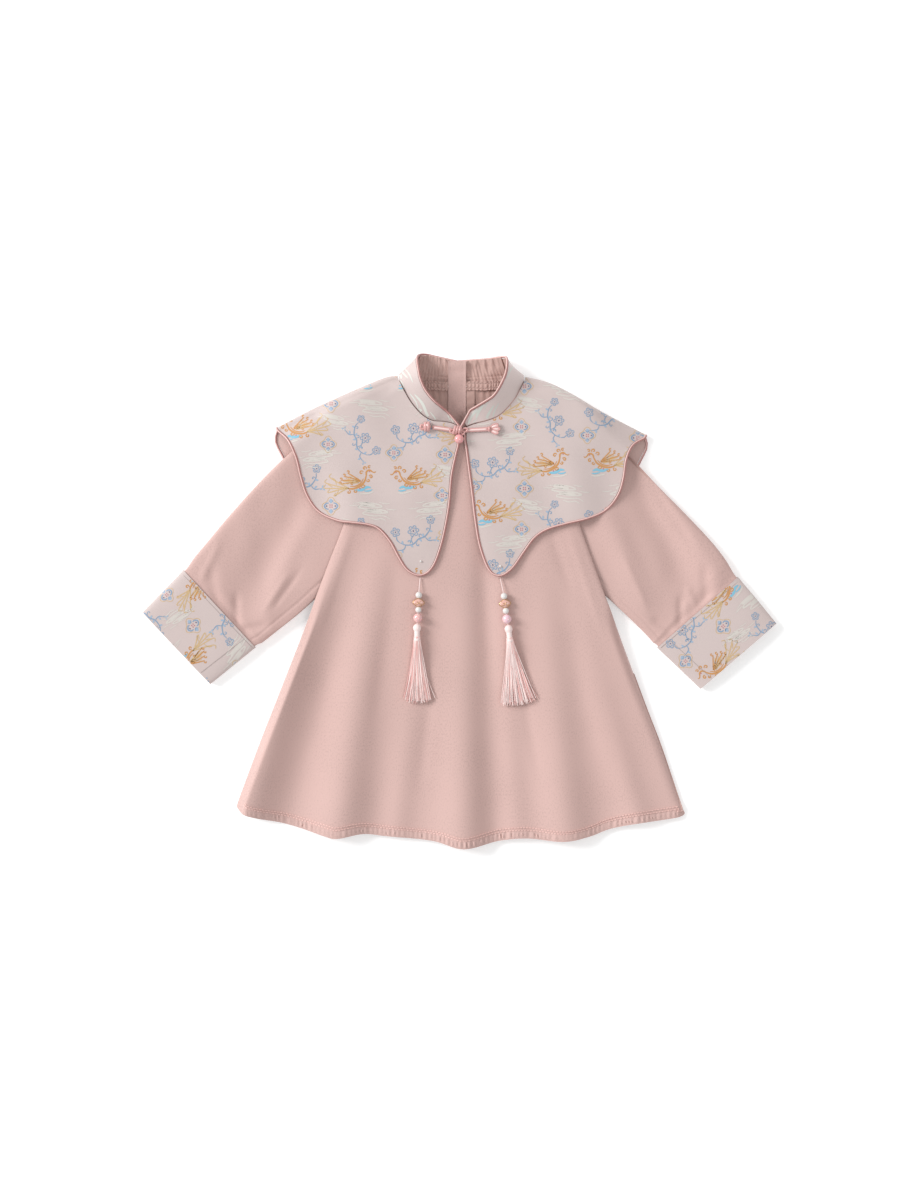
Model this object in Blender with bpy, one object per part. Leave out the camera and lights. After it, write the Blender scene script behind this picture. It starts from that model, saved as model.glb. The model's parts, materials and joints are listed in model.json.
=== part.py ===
"""A child's chinese-style dress, laid flat on its back.

X runs to the viewer's right, Y towards the neck, Z up from the surface that the dress lies on.
Tables and sizes are in millimetres, and the meshes are made in metres.
"""
import math
from collections import namedtuple

import bmesh
import bpy
import numpy as np

MM = 0.001
# Where the middle of the laid dress lies in the tables
LAY_MIDDLE = (0.0, 0.92, 0.0)

# Cloth and the room between pieces
CLOTH = 1.2
SEAM_GAP = 0.3
LAYER_GAP = 0.5
SLEEVE_GAP = 0.5
PIPING_RADIUS = 1.25
PIPING_REACH = PIPING_RADIUS + 1.5 * SEAM_GAP
PIPING_SIT = 0.05

# Heights of the layers as the dress lies
BACK_REST = 2.9
SLEEVE_ROOT_REST = 4.5
SLEEVE_ROOT_CROWN = 13.0
CHEST_HEIGHT = 15.0
WAIST_HEIGHT = 17.2
HEM_HEIGHT = 6.0
CHEST_UP = 170.0
WAIST_UP = 80.0
SKIRT_UP = 70.0
HEM_UP = -235.0
SHOULDER_ROLL = 9.0
SIDE_ROLL = 11.0
BACK_OPENING_X = -2.5
BACK_OPENING_LENGTH = 150.0
BACK_NECK_UP = 222.5
BACK_HEM_UP = -246.0
BACK_HEM_RISE = 5.0
BACK_SIDE_INSET = 0.4
PLACKET_TOP_UP = 244.5
PLACKET_WIDTH = 18.5

# The body's side edges, from the shoulder tips down to the hem
SideRow = namedtuple("SideRow", "up left right")
BODY_SIDES = (
    SideRow(196, -128, 133),
    SideRow(168, -121, 128),
    SideRow(137, -117, 125),
    SideRow(106, -116.5, 123),
    SideRow(82, -119.5, 124),
    SideRow(39, -136, 139),
    SideRow(7, -148, 150.5),
    SideRow(-18, -157, 160),
    SideRow(-102, -190, 191),
    SideRow(-148, -208, 208.5),
    SideRow(-206, -229.5, 228),
    SideRow(-214, -231, 232),
)

# The front's upper edge: shoulder, neck, shoulder
Spot = namedtuple("Spot", "x y")
FRONT_TOP = (
    Spot(-128, 196), Spot(-98, 209.5), Spot(-70, 222), Spot(-60.5, 214), Spot(-51.5, 202),
    Spot(-40.5, 190.5), Spot(-29, 184), Spot(-15, 182), Spot(2, 180), Spot(19, 182),
    Spot(33, 184), Spot(44, 190), Spot(56, 203), Spot(66, 214), Spot(75, 221),
    Spot(103, 209), Spot(133, 196),
)
HEM_EDGE = (
    Spot(-231, -214), Spot(-224, -220.5), Spot(-208, -225), Spot(-185, -229.5), Spot(-162, -236),
    Spot(-140, -243), Spot(-127, -245.5), Spot(-101, -241), Spot(-78, -243), Spot(-28, -248),
    Spot(4.5, -256), Spot(42, -248), Spot(70, -245.5), Spot(107, -248.5), Spot(135, -243.5),
    Spot(156, -236), Spot(182, -230.5), Spot(230, -223), Spot(232, -214),
)
BACK_TOP = (
    Spot(-128, 196), Spot(-98, 209.5), Spot(-66, 224), Spot(-40, 223.5), Spot(0, 222.5),
    Spot(42, 223.5), Spot(70, 223), Spot(103, 209), Spot(133, 196),
)
# The shoulder seams, run on up past the neck
SHOULDER_SEAM_LEFT = (Spot(-128, 196), Spot(-98, 209.5), Spot(-70, 222), Spot(-60, 240))
SHOULDER_SEAM_RIGHT = (Spot(60, 240), Spot(75, 221), Spot(103, 209), Spot(133, 196))
NECK_LEFT_X = -62.0
NECK_RIGHT_X = 64.0

# The skirt's folds: where each ridge begins and where it meets the hem
Fold = namedtuple("Fold", "top_x top_y hem_x hem_y height half_width")
SKIRT_FOLDS = (
    Fold(-84, 70, -127, -246, 10.5, 27),
    Fold(3, 60, 5, -256, 12.0, 29),
    Fold(84, 70, 111, -248, 10.5, 27),
    Fold(-112, 10, -186, -229, 5.0, 17),
    Fold(118, 10, 186, -229, 5.0, 17),
    Fold(-40, -30, -66, -245, 3.0, 15),
    Fold(46, -30, 60, -246, 3.0, 15),
)

# Each sleeve from its root inside the body to its end: the upper and lower edges as it lies
SleeveRow = namedtuple("SleeveRow", "part upper_x upper_y lower_x lower_y crown")
CUFF_START = 0.76
SLEEVE_RING_POINTS = 20
SLEEVE_SIDE_FULLNESS = 0.6
SLEEVE_CROWN_FULLNESS = 0.62
SLEEVE_LEFT = (
    SleeveRow(0.00, -126.5, 183, -113, 35, 12.2),
    SleeveRow(0.08, -147, 176.5, -125.5, 23, 12.1),
    SleeveRow(0.20, -174.5, 155.5, -143, 9, 11.8),
    SleeveRow(0.35, -205.5, 126, -165, -11, 11.4),
    SleeveRow(0.53, -239, 89, -187, -28.5, 11.2),
    SleeveRow(0.66, -264.5, 58.5, -201.5, -40, 11.6),
    SleeveRow(0.76, -286.5, 33, -211.5, -47.5, 12.0),
    SleeveRow(0.88, -307.5, 11, -235, -66.5, 11.6),
    SleeveRow(1.00, -329, -11, -258.5, -85.5, 10.4),
)
SLEEVE_RIGHT = (
    SleeveRow(0.00, 131.5, 183, 119, 35, 12.2),
    SleeveRow(0.08, 150, 175, 131.5, 22.5, 12.1),
    SleeveRow(0.20, 176.5, 151, 147, 10, 11.8),
    SleeveRow(0.35, 204.5, 121.5, 165, -6.5, 11.4),
    SleeveRow(0.53, 239.5, 86, 185, -25.5, 11.2),
    SleeveRow(0.66, 266, 57, 198, -39, 11.6),
    SleeveRow(0.76, 289, 26, 205, -47.5, 12.0),
    SleeveRow(0.88, 309, 2, 227.5, -69, 11.6),
    SleeveRow(1.00, 329, -22.5, 250, -90.5, 10.4),
)

# Soft rises and dips across a sleeve's upper face: place along, place across, size along and across
SleeveFold = namedtuple("SleeveFold", "along across long wide rise")
SLEEVE_FOLDS_LEFT = (
    SleeveFold(0.42, 0.45, 0.16, 0.16, 2.2),
    SleeveFold(0.36, -0.05, 0.20, 0.18, -2.4),
    SleeveFold(0.64, 0.30, 0.08, 0.40, -2.0),
    SleeveFold(0.60, -0.45, 0.16, 0.16, 1.6),
)
SLEEVE_FOLDS_RIGHT = (
    SleeveFold(0.40, 0.30, 0.18, 0.16, 2.2),
    SleeveFold(0.32, 0.72, 0.14, 0.12, -2.6),
    SleeveFold(0.52, -0.20, 0.22, 0.16, -2.0),
    SleeveFold(0.66, 0.55, 0.06, 0.40, -2.0),
)

# The cape collar, one outline for each half
CapeHalf = namedtuple("CapeHalf", "side neck centre_edge lobes shoulder back_edge back_neck back_centre")
CAPE_LEFT = CapeHalf(
    side=-1,
    neck=(Spot(-2.5, 182), Spot(-8, 184), Spot(-17.4, 185.4), Spot(-29, 186.2), Spot(-40, 192.2),
          Spot(-50.4, 203.8), Spot(-58.4, 216.6), Spot(-63.4, 226.5), Spot(-64.2, 234.5)),
    centre_edge=(Spot(-2.5, 182), Spot(-2.5, 165), Spot(-5.5, 152), Spot(-10, 130), Spot(-12.5, 101),
                 Spot(-16.8, 75.5), Spot(-21, 58), Spot(-27, 41), Spot(-33.4, 31.5), Spot(-39.5, 28)),
    lobes=(Spot(-39.5, 28), Spot(-46, 29.5), Spot(-54, 35.5), Spot(-61.5, 47.5), Spot(-70, 63),
           Spot(-81.5, 76), Spot(-93, 80.5), Spot(-110, 82.8), Spot(-125, 85), Spot(-144, 94),
           Spot(-156, 110.5), Spot(-162.5, 130), Spot(-167.5, 150), Spot(-176, 168), Spot(-186, 178)),
    shoulder=(Spot(-64.2, 234.5), Spot(-79, 232), Spot(-119, 215), Spot(-153.5, 199.5),
              Spot(-188.5, 181.5)),
    back_edge=(Spot(-188.5, 181.5), Spot(-191, 170), Spot(-185, 157), Spot(-176, 140),
               Spot(-168, 118), Spot(-154, 98), Spot(-128, 86), Spot(-98, 82), Spot(-74, 70),
               Spot(-52, 56), Spot(-24, 50), Spot(-2.8, 50)),
    back_neck=(Spot(-64.2, 234.5), Spot(-56, 226.5), Spot(-42, 224), Spot(-20, 223.6),
               Spot(-2.8, 223.4)),
    back_centre=(Spot(-2.8, 223.4), Spot(-2.8, 130), Spot(-2.8, 50)),
)
CAPE_RIGHT = CapeHalf(
    side=1,
    neck=(Spot(8, 180.8), Spot(16, 183.8), Spot(28.5, 186.4), Spot(40, 190.6), Spot(48.6, 197.4),
          Spot(59.6, 210.6), Spot(67, 224.5), Spot(68.4, 233.5)),
    centre_edge=(Spot(8, 180.8), Spot(7.2, 169.5), Spot(9, 158), Spot(12, 135), Spot(15, 112),
                 Spot(17.8, 87), Spot(22, 61), Spot(29, 39.5), Spot(35, 30), Spot(40, 27.5)),
    lobes=(Spot(40, 27.5), Spot(45, 29), Spot(54, 36.5), Spot(65.5, 53), Spot(76, 67),
           Spot(89, 75.5), Spot(109, 81.5), Spot(131.5, 87), Spot(150, 95.5), Spot(162.5, 111),
           Spot(168, 128), Spot(171, 148), Spot(178, 163), Spot(188, 173.5)),
    shoulder=(Spot(68.4, 233.5), Spot(92, 227.5), Spot(117.5, 215), Spot(146, 198),
              Spot(192.5, 174)),
    back_edge=(Spot(192.5, 174), Spot(194.5, 164), Spot(189, 152), Spot(182, 138),
               Spot(174, 116), Spot(158, 97), Spot(132, 86), Spot(100, 81), Spot(74, 69),
               Spot(50, 55), Spot(20, 50), Spot(-2.2, 50)),
    back_neck=(Spot(68.4, 233.5), Spot(60, 226), Spot(44, 224), Spot(20, 223.6), Spot(-2.2, 223.4)),
    back_centre=(Spot(-2.2, 223.4), Spot(-2.2, 130), Spot(-2.2, 50)),
)
CAPE_FOLD_DEPTH = 6.5
CAPE_FOLD_THINNING = 3.0
CAPE_FOLD_TURNS = (62, 34, 6, -24, -56)
CAPE_CORNER_HEIGHT = 5.0
CAPE_NECK_DROP = 3.4
# How many rows down a cape half, and columns over its front and its back
CAPE_GRID = (10, 19, 7)

# The stand collar from centre front round to centre back: its seam and its rim
CollarRow = namedtuple("CollarRow", "seam_x seam_y seam_z rim_x rim_y rim_z")
COLLAR_LEFT = (
    CollarRow(-1.8, 182.6, 17.6, -1.6, 186.0, 19.0),
    CollarRow(-8.5, 185.4, 17.4, -8.5, 190.4, 20.5),
    CollarRow(-17.6, 186.8, 17.2, -14.5, 195.6, 23.0),
    CollarRow(-28.4, 188.0, 17.0, -21.0, 200.6, 26.0),
    CollarRow(-38.8, 194.2, 17.0, -28.5, 207.0, 28.5),
    CollarRow(-48.8, 205.2, 16.8, -36.5, 217.0, 30.0),
    CollarRow(-56.6, 217.8, 15.6, -41.8, 228.8, 30.5),
    CollarRow(-61.6, 228.6, 13.2, -44.3, 241.0, 28.0),
    CollarRow(-62.4, 236.6, 8.6, -45.4, 251.0, 19.5),
    CollarRow(-57.4, 231.2, 3.0, -43.0, 254.6, 9.5),
    CollarRow(-44.0, 226.0, 0.4, -35.0, 255.0, 2.8),
    CollarRow(-26.0, 224.6, 0.0, -22.0, 252.2, 0.5),
    CollarRow(-2.8, 224.2, 0.0, -2.8, 248.0, 0.3),
)
COLLAR_RIGHT = (
    CollarRow(7.2, 181.8, 17.6, 5.2, 186.0, 19.0),
    CollarRow(16.0, 185.0, 17.4, 11.0, 195.2, 21.0),
    CollarRow(28.0, 187.9, 17.2, 17.5, 199.4, 24.0),
    CollarRow(38.8, 192.2, 17.0, 28.5, 205.8, 27.0),
    CollarRow(47.2, 199.0, 17.0, 36.4, 211.4, 29.0),
    CollarRow(57.8, 211.8, 16.6, 43.0, 221.2, 30.2),
    CollarRow(65.0, 225.4, 14.2, 48.6, 233.4, 30.0),
    CollarRow(66.6, 235.2, 8.8, 50.6, 245.0, 25.0),
    CollarRow(61.8, 231.0, 3.2, 49.6, 251.8, 13.0),
    CollarRow(49.0, 226.2, 0.5, 43.0, 252.4, 4.0),
    CollarRow(30.0, 224.7, 0.0, 28.0, 250.2, 0.6),
    CollarRow(-2.2, 224.2, 0.0, -2.2, 248.0, 0.3),
)
COLLAR_ROWS = 5
COLLAR_COLUMNS = 23
FACING_FIRST_COLUMN = 16
FACING_COLUMNS = 25
FACING_GATHER_HEIGHT = 0.6

# The frog fastening at the neck
FROG_LIFT = 0.4
Knot = namedtuple("Knot", "x y long wide high")
FROG_END_KNOT = Knot(-34.3, 180.8, 10.4, 9.0, 5.0)
FROG_CENTRE_KNOT = Knot(-1.6, 177.4, 12.4, 7.8, 6.0)
FROG_BALL = Knot(-0.5, 168.1, 9.8, 9.8, 9.2)
FROG_BALL_SINK = 0.9
FROG_CORD_RADIUS = 1.9
FROG_BAR_LEFT = (Spot(-28.2, 180.0), Spot(-21, 179.2), Spot(-14, 178.2), Spot(-8.4, 177.6))
FROG_BAR_RIGHT = (Spot(5.4, 176.8), Spot(12, 177.4), Spot(20, 177.8), Spot(30.2, 178.4))
FROG_FAN_HUB = Spot(33.8, 178.6)
FROG_FAN_REACH = Spot(3.6, 4.4)
FROG_FAN_TURNS = (-52, 0, 52)
FROG_PETAL_SIZE = (6.0, 3.3, 3.6)

# The two pendants, from the flap's tip down the skirt
Bead = namedtuple("Bead", "name x y diameter height thickness lift")
Pendant = namedtuple("Pendant", "side start_x start_y beads head_x head_y end_x end_y spread")
PENDANT_LEFT = Pendant(
    side="left", start_x=-40.8, start_y=24.4,
    beads=(Bead("pearl_upper", -42.1, 6.9, 7.0, 7.0, 7.0, 4.1),
           Bead("cloud_bead", -42.3, -0.8, 11.6, 7.6, 5.4, 4.1),
           Bead("pearl_lower", -42.5, -8.3, 6.6, 6.6, 6.6, 4.3),
           Bead("round_bead", -43.1, -16.8, 9.6, 9.6, 9.6, 5.4)),
    head_x=-44.0, head_y=-27.0, end_x=-43.6, end_y=-105.8, spread=32.0)
PENDANT_RIGHT = Pendant(
    side="right", start_x=42.2, start_y=24.0,
    beads=(Bead("pearl_upper", 45.9, 5.8, 7.0, 7.0, 7.0, 4.1),
           Bead("cloud_bead", 46.9, -1.9, 11.6, 7.6, 5.4, 4.1),
           Bead("pearl_lower", 47.8, -9.4, 6.6, 6.6, 6.6, 4.3),
           Bead("round_bead", 48.9, -17.9, 9.6, 9.6, 9.6, 5.4)),
    head_x=50.6, head_y=-28.2, end_x=60.4, end_y=-108.0, spread=40.0)
THREAD_RADIUS = 0.5
THREAD_START_LIFT = 1.6
BEAD_BORE_GAP = 0.7
BEAD_AROUND = 10
BEAD_LEVELS = 5
TASSEL_HEAD_LIFT = 4.8
TASSEL_AROUND = 10
# The tassel's head, bound neck and skirt of silk: distance past the head's middle, and radius
Turn = namedtuple("Turn", "distance radius")
TASSEL_PROFILE = (
    Turn(-4.1, 1.3), Turn(-3.4, 2.7), Turn(-1.5, 4.1), Turn(0.8, 4.2), Turn(3.0, 3.2),
    Turn(4.4, 2.9), Turn(6.5, 3.6), Turn(12.0, 3.8), Turn(14.5, 3.9),
)
STRAND_RADIUS = 0.42
STRAND_ROOT = 13.2
STRAND_PILE = 2.7
STRAND_TIP_RISE = 2.5
STRAND_LEVELS = (0.0, 0.22, 0.5, 0.76, 1.0)
# The strands' roots in the silk: each ring's radius and how many strands it has
StrandRing = namedtuple("StrandRing", "radius count")
STRAND_RINGS = (StrandRing(0.0, 1), StrandRing(1.2, 6), StrandRing(2.3, 9), StrandRing(3.25, 11))


def smooth(start, end, value):
    """Run softly from 0 at start to 1 at end."""
    part = np.clip((np.asarray(value, float) - start) / (end - start), 0.0, 1.0)
    return part * part * (3.0 - 2.0 * part)


def along(points, parts):
    """Places on a smooth curve through the points, at parts of its length."""
    knots = np.array([tuple(point) for point in points], float)
    ends = np.vstack([2 * knots[0] - knots[1], knots, 2 * knots[-1] - knots[-2]])
    fine = []
    for index in range(len(knots) - 1):
        before, first, second, after = ends[index:index + 4]
        for step in np.linspace(0.0, 1.0, 12, endpoint=False):
            fine.append(0.5 * (2 * first + (second - before) * step
                               + (2 * before - 5 * first + 4 * second - after) * step ** 2
                               + (3 * first - before - 3 * second + after) * step ** 3))
    fine.append(knots[-1])
    fine = np.array(fine)
    lengths = np.concatenate([[0.0], np.cumsum(np.linalg.norm(np.diff(fine, axis=0), axis=1))])
    wanted = np.asarray(parts, float) * lengths[-1]
    return np.stack([np.interp(wanted, lengths, fine[:, axis]) for axis in range(fine.shape[1])], axis=-1)


def patch(near, far, first, last, down, across):
    """Fill four edges: near and far run across, first and last run down."""
    upper = along(near, across)[None, :, :]
    lower = along(far, across)[None, :, :]
    start = along(first, down)[:, None, :]
    end = along(last, down)[:, None, :]
    v = np.asarray(down, float)[:, None, None]
    u = np.asarray(across, float)[None, :, None]
    corners = ((1 - v) * ((1 - u) * upper[:, :1] + u * upper[:, -1:])
               + v * ((1 - u) * lower[:, :1] + u * lower[:, -1:]))
    return (1 - v) * upper + v * lower + (1 - u) * start + u * end - corners


def outside(outline, x, y):
    """Distance from a closed outline to each place beyond it, and 0 within it."""
    corners = np.array([tuple(point) for point in outline], float)
    following = np.roll(corners, -1, axis=0)
    places = np.stack([np.ravel(x), np.ravel(y)], axis=-1)[:, None, :]
    run = (following - corners)[None]
    offset = places - corners[None]
    part = np.clip((offset * run).sum(-1) / np.maximum((run * run).sum(-1), 1e-9), 0.0, 1.0)
    distance = np.linalg.norm(offset - part[..., None] * run, axis=-1).min(axis=1)
    low = corners[None, :, 1] > places[..., 1]
    high = following[None, :, 1] > places[..., 1]
    crossing = corners[None, :, 0] + (places[..., 1] - corners[None, :, 1]) * run[..., 0] / np.where(
        run[..., 1] == 0, 1e-9, run[..., 1])
    within = ((low != high) & (places[..., 0] < crossing)).sum(axis=1) % 2 == 1
    return np.where(within, 0.0, distance).reshape(np.shape(x))


def side_at(y, name):
    """The body's left or right edge at a height up the dress."""
    ups = [row.up for row in reversed(BODY_SIDES)]
    values = [getattr(row, name) for row in reversed(BODY_SIDES)]
    return np.interp(y, ups, values)


BODY_OUTLINE = ([Spot(row.left, row.up) for row in BODY_SIDES] + list(HEM_EDGE[1:-1])
                + [Spot(row.right, row.up) for row in reversed(BODY_SIDES)]
                + [Spot(75, 221), Spot(-70, 222)])


def sleeve_outline(rows):
    """A sleeve's outline as it lies."""
    return [Spot(row.upper_x, row.upper_y) for row in rows] + [
        Spot(row.lower_x, row.lower_y) for row in reversed(rows)]


def cape_back_outline(half):
    """The outline of the part of a cape half that lies under the dress."""
    return list(half.back_neck) + [half.back_centre[-1]] + list(reversed(half.back_edge))


def back_rest(x, y):
    """How high the dress's back lies over the cape's back."""
    rise = 0.0
    for half in (CAPE_LEFT, CAPE_RIGHT):
        rise = np.maximum(rise, 1.0 - smooth(34, 80, outside(cape_back_outline(half), x, y)))
    return BACK_REST * rise


def plateau(x, y):
    """The front's height, with its folds and without its rounded edges."""
    height = CHEST_HEIGHT + (WAIST_HEIGHT - CHEST_HEIGHT) * smooth(CHEST_UP, WAIST_UP, y)
    height = height + (HEM_HEIGHT - WAIST_HEIGHT) * smooth(SKIRT_UP, HEM_UP, y)
    for fold in SKIRT_FOLDS:
        part = np.clip((fold.top_y - y) / (fold.top_y - fold.hem_y), 0.0, 1.1)
        centre = fold.top_x + (fold.hem_x - fold.top_x) * part
        width = fold.half_width * (0.6 + 0.4 * part)
        height = height + fold.height * part ** 1.25 * np.exp(-((x - centre) / width) ** 2)
    return height


def rounded(distance, radius):
    """A quarter-round rise from 0 at an edge to 1 at a radius inside it."""
    part = np.clip(distance / radius, 0.0, 1.0)
    return np.sqrt(np.clip(1.0 - (1.0 - part) ** 2, 0.0, 1.0))


def seam_line(seam, x):
    """How far up a seam lies at a place across the dress."""
    return np.interp(x, [spot.x for spot in seam], [spot.y for spot in seam])


def front_height(x, y):
    """The front's upper face, which comes down at its side seams and shoulders."""
    flat = plateau(x, y)
    seam = BACK_REST + CLOTH + SEAM_GAP
    over_sleeve = SLEEVE_ROOT_CROWN + SLEEVE_GAP
    low = CLOTH + SEAM_GAP + (over_sleeve - CLOTH - SEAM_GAP) * smooth(-44, 0, y)
    to_side = np.minimum(x - side_at(y, "left"), side_at(y, "right") - x)
    drop_side = (flat - low) * (1.0 - rounded(to_side, SIDE_ROLL))
    to_shoulder = np.where(x < 0, seam_line(SHOULDER_SEAM_LEFT, x), seam_line(SHOULDER_SEAM_RIGHT, x)) - y
    to_shoulder = np.where((x > NECK_LEFT_X) & (x < NECK_RIGHT_X), SHOULDER_ROLL, to_shoulder)
    drop_shoulder = (flat - seam) * (1.0 - rounded(to_shoulder, SHOULDER_ROLL))
    return np.maximum(flat - drop_side - drop_shoulder, np.minimum(low, seam))


def flap_height(x, y):
    """The cape's upper face where it lies over the body and the sleeves."""
    lift = LAYER_GAP + CLOTH
    body = plateau(x, y) + lift
    sleeve = SLEEVE_ROOT_CROWN + lift
    near_body = 1.0 - smooth(1, 30, outside(BODY_OUTLINE, x, y))
    beyond_sleeve = np.minimum(outside(sleeve_outline(SLEEVE_LEFT), x, y),
                               outside(sleeve_outline(SLEEVE_RIGHT), x, y))
    near_sleeve = 1.0 - smooth(0, 30, beyond_sleeve)
    over_body = CAPE_CORNER_HEIGHT + (body - CAPE_CORNER_HEIGHT) * near_body
    over_sleeve = CAPE_CORNER_HEIGHT + (sleeve - CAPE_CORNER_HEIGHT) * near_sleeve
    return np.maximum(over_body, over_sleeve)


def grid_normals(points, closed):
    """Unit normals of a grid of places, one for each."""
    down = np.gradient(points, axis=0)
    if closed:
        across = (np.roll(points, -1, axis=1) - np.roll(points, 1, axis=1)) / 2
    else:
        across = np.gradient(points, axis=1)
    normal = np.cross(down, across)
    length = np.linalg.norm(normal, axis=-1, keepdims=True)
    return normal / np.where(length == 0, 1.0, length)


def make_material(name, colour, roughness, metallic=0.0):
    """One plain finish."""
    material = bpy.data.materials.new(name)
    material.use_nodes = True
    shader = material.node_tree.nodes["Principled BSDF"]
    shader.inputs["Base Color"].default_value = (*colour, 1.0)
    shader.inputs["Roughness"].default_value = roughness
    shader.inputs["Metallic"].default_value = metallic
    return material


def in_metres(place):
    """A place in the tables, in metres from the middle of the laid dress."""
    return tuple((np.asarray(place, float) - LAY_MIDDLE) * MM)


def add_object(name, vertices, faces, material, parent):
    """A named object from places in millimetres."""
    mesh = bpy.data.meshes.new(name)
    mesh.from_pydata([in_metres(vertex) for vertex in vertices], [], faces)
    shape = bmesh.new()
    shape.from_mesh(mesh)
    bmesh.ops.recalc_face_normals(shape, faces=shape.faces)
    shape.to_mesh(mesh)
    shape.free()
    mesh.materials.append(material)
    mesh.shade_smooth()
    mesh.set_sharp_from_angle(angle=math.radians(50))
    piece = bpy.data.objects.new(name, mesh)
    bpy.context.collection.objects.link(piece)
    piece.parent = parent
    return piece


def cloth_wall(name, face, inner, material, parent, closed=False):
    """A wall between two grids of places, with its edges closed."""
    rows, columns = face.shape[:2]
    vertices = np.concatenate([face.reshape(-1, 3), inner.reshape(-1, 3)])
    second = rows * columns
    faces = []
    spans = columns if closed else columns - 1
    for row in range(rows - 1):
        for column in range(spans):
            following = (column + 1) % columns
            a, b = row * columns + column, row * columns + following
            c, d = b + columns, a + columns
            faces.append((a, b, c, d))
            faces.append((second + d, second + c, second + b, second + a))
    for column in range(spans):
        following = (column + 1) % columns
        last = (rows - 1) * columns
        faces.append((following, column, second + column, second + following))
        faces.append((last + column, last + following, second + last + following, second + last + column))
    if not closed:
        for row in range(rows - 1):
            a, d = row * columns, (row + 1) * columns
            faces.append((a, d, second + d, second + a))
            a, d = a + columns - 1, d + columns - 1
            faces.append((d, a, second + a, second + d))
    return add_object(name, vertices, faces, material, parent)


def tube(name, path, radius, sides, material, parent, ends=1.0):
    """A round piece along a path, with flat ends that may be narrower."""
    path = np.asarray(path, float)
    heading = np.gradient(path, axis=0)
    heading /= np.linalg.norm(heading, axis=1, keepdims=True)
    side = np.cross(heading[0], (0.0, 0.0, 1.0))
    if np.linalg.norm(side) < 0.1:
        side = np.array((1.0, 0.0, 0.0))
    vertices = []
    count = len(path)
    for index, place in enumerate(path):
        side = side - heading[index] * np.dot(side, heading[index])
        side /= np.linalg.norm(side)
        lift = np.cross(side, heading[index])
        size = radius * (ends if index in (0, count - 1) else 1.0)
        for step in range(sides):
            angle = 2 * math.pi * (step + 0.5) / sides
            vertices.append(place + size * (side * math.cos(angle) + lift * math.sin(angle)))
    faces = []
    for index in range(count - 1):
        for step in range(sides):
            following = (step + 1) % sides
            a, b = index * sides + step, index * sides + following
            faces.append((a, b, b + sides, a + sides))
    faces.append(tuple(range(sides)))
    faces.append(tuple(reversed(range((count - 1) * sides, count * sides))))
    return add_object(name, vertices, faces, material, parent)


def edge_spacing(count, share):
    """Parts across a panel, close together where its edges round over."""
    inset = share * np.array([0.0, 0.08, 0.26, 0.56, 1.0])
    middle = np.linspace(share, 1.0 - share, count)[1:-1]
    return np.concatenate([inset, middle, 1.0 - inset[::-1]])


def make_front(material, parent):
    """The A-line front, with its folds and rounded sides."""
    across = edge_spacing(31, 0.024)
    down = np.concatenate([[0.0, 0.008, 0.024], np.linspace(0.05, 1.0, 17)])
    left = [Spot(row.left, row.up) for row in BODY_SIDES]
    right = [Spot(row.right, row.up) for row in BODY_SIDES]
    plan = patch(FRONT_TOP, HEM_EDGE, left, right, down, across)
    x, y = plan[..., 0], plan[..., 1]
    face = np.dstack([x, y, front_height(x, y)])
    inner = face - grid_normals(face, False) * CLOTH
    lowest = back_rest(x, y) + CLOTH + SEAM_GAP
    inner[..., 2] = np.maximum(inner[..., 2], lowest)
    face[..., 2] = np.maximum(face[..., 2], lowest)
    return cloth_wall("front_panel", face, inner, material, parent)


def make_back(side, material, parent):
    """Half of the back, from its side seam to the centre-back opening."""
    sign = -1 if side == "left" else 1
    centre = BACK_OPENING_X + sign * SEAM_GAP / 2
    down = np.linspace(0.0, 1.0, 14)
    across = np.linspace(0.0, 1.0, 7)
    outer = [Spot(getattr(row, side) - sign * BACK_SIDE_INSET, row.up) for row in BODY_SIDES]
    top = [spot for spot in BACK_TOP[::-sign] if spot.x * sign > 1] + [Spot(centre, BACK_NECK_UP)]
    hem = [Spot(spot.x - sign * BACK_SIDE_INSET, spot.y + BACK_HEM_RISE) for spot in HEM_EDGE[::-sign]
           if spot.x * sign > 10][::2] + [Spot(centre, BACK_HEM_UP)]
    top[0] = outer[0]
    hem[0] = outer[-1]
    middle = [top[-1], Spot(centre, 0), hem[-1]]
    plan = patch(top, hem, outer, middle, down, across)
    x, y = plan[..., 0], plan[..., 1]
    rest = back_rest(x, y)
    face = np.dstack([x, y, rest + CLOTH])
    return cloth_wall("back_" + side, face, np.dstack([x, y, rest]), material, parent)


def make_placket(material, parent):
    """The strip over the centre-back opening, seen inside the neck."""
    low = BACK_REST + CLOTH + SEAM_GAP
    y = np.linspace(PLACKET_TOP_UP, BACK_NECK_UP - BACK_OPENING_LENGTH, 8)
    left = BACK_OPENING_X - PLACKET_WIDTH / 2
    x = np.linspace(left, left + PLACKET_WIDTH, 3)
    plan_x, plan_y = np.meshgrid(x, y)
    rest = np.full(plan_x.shape, low)
    return cloth_wall("back_placket", np.dstack([plan_x, plan_y, rest + CLOTH]),
                      np.dstack([plan_x, plan_y, rest]), material, parent)


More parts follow.
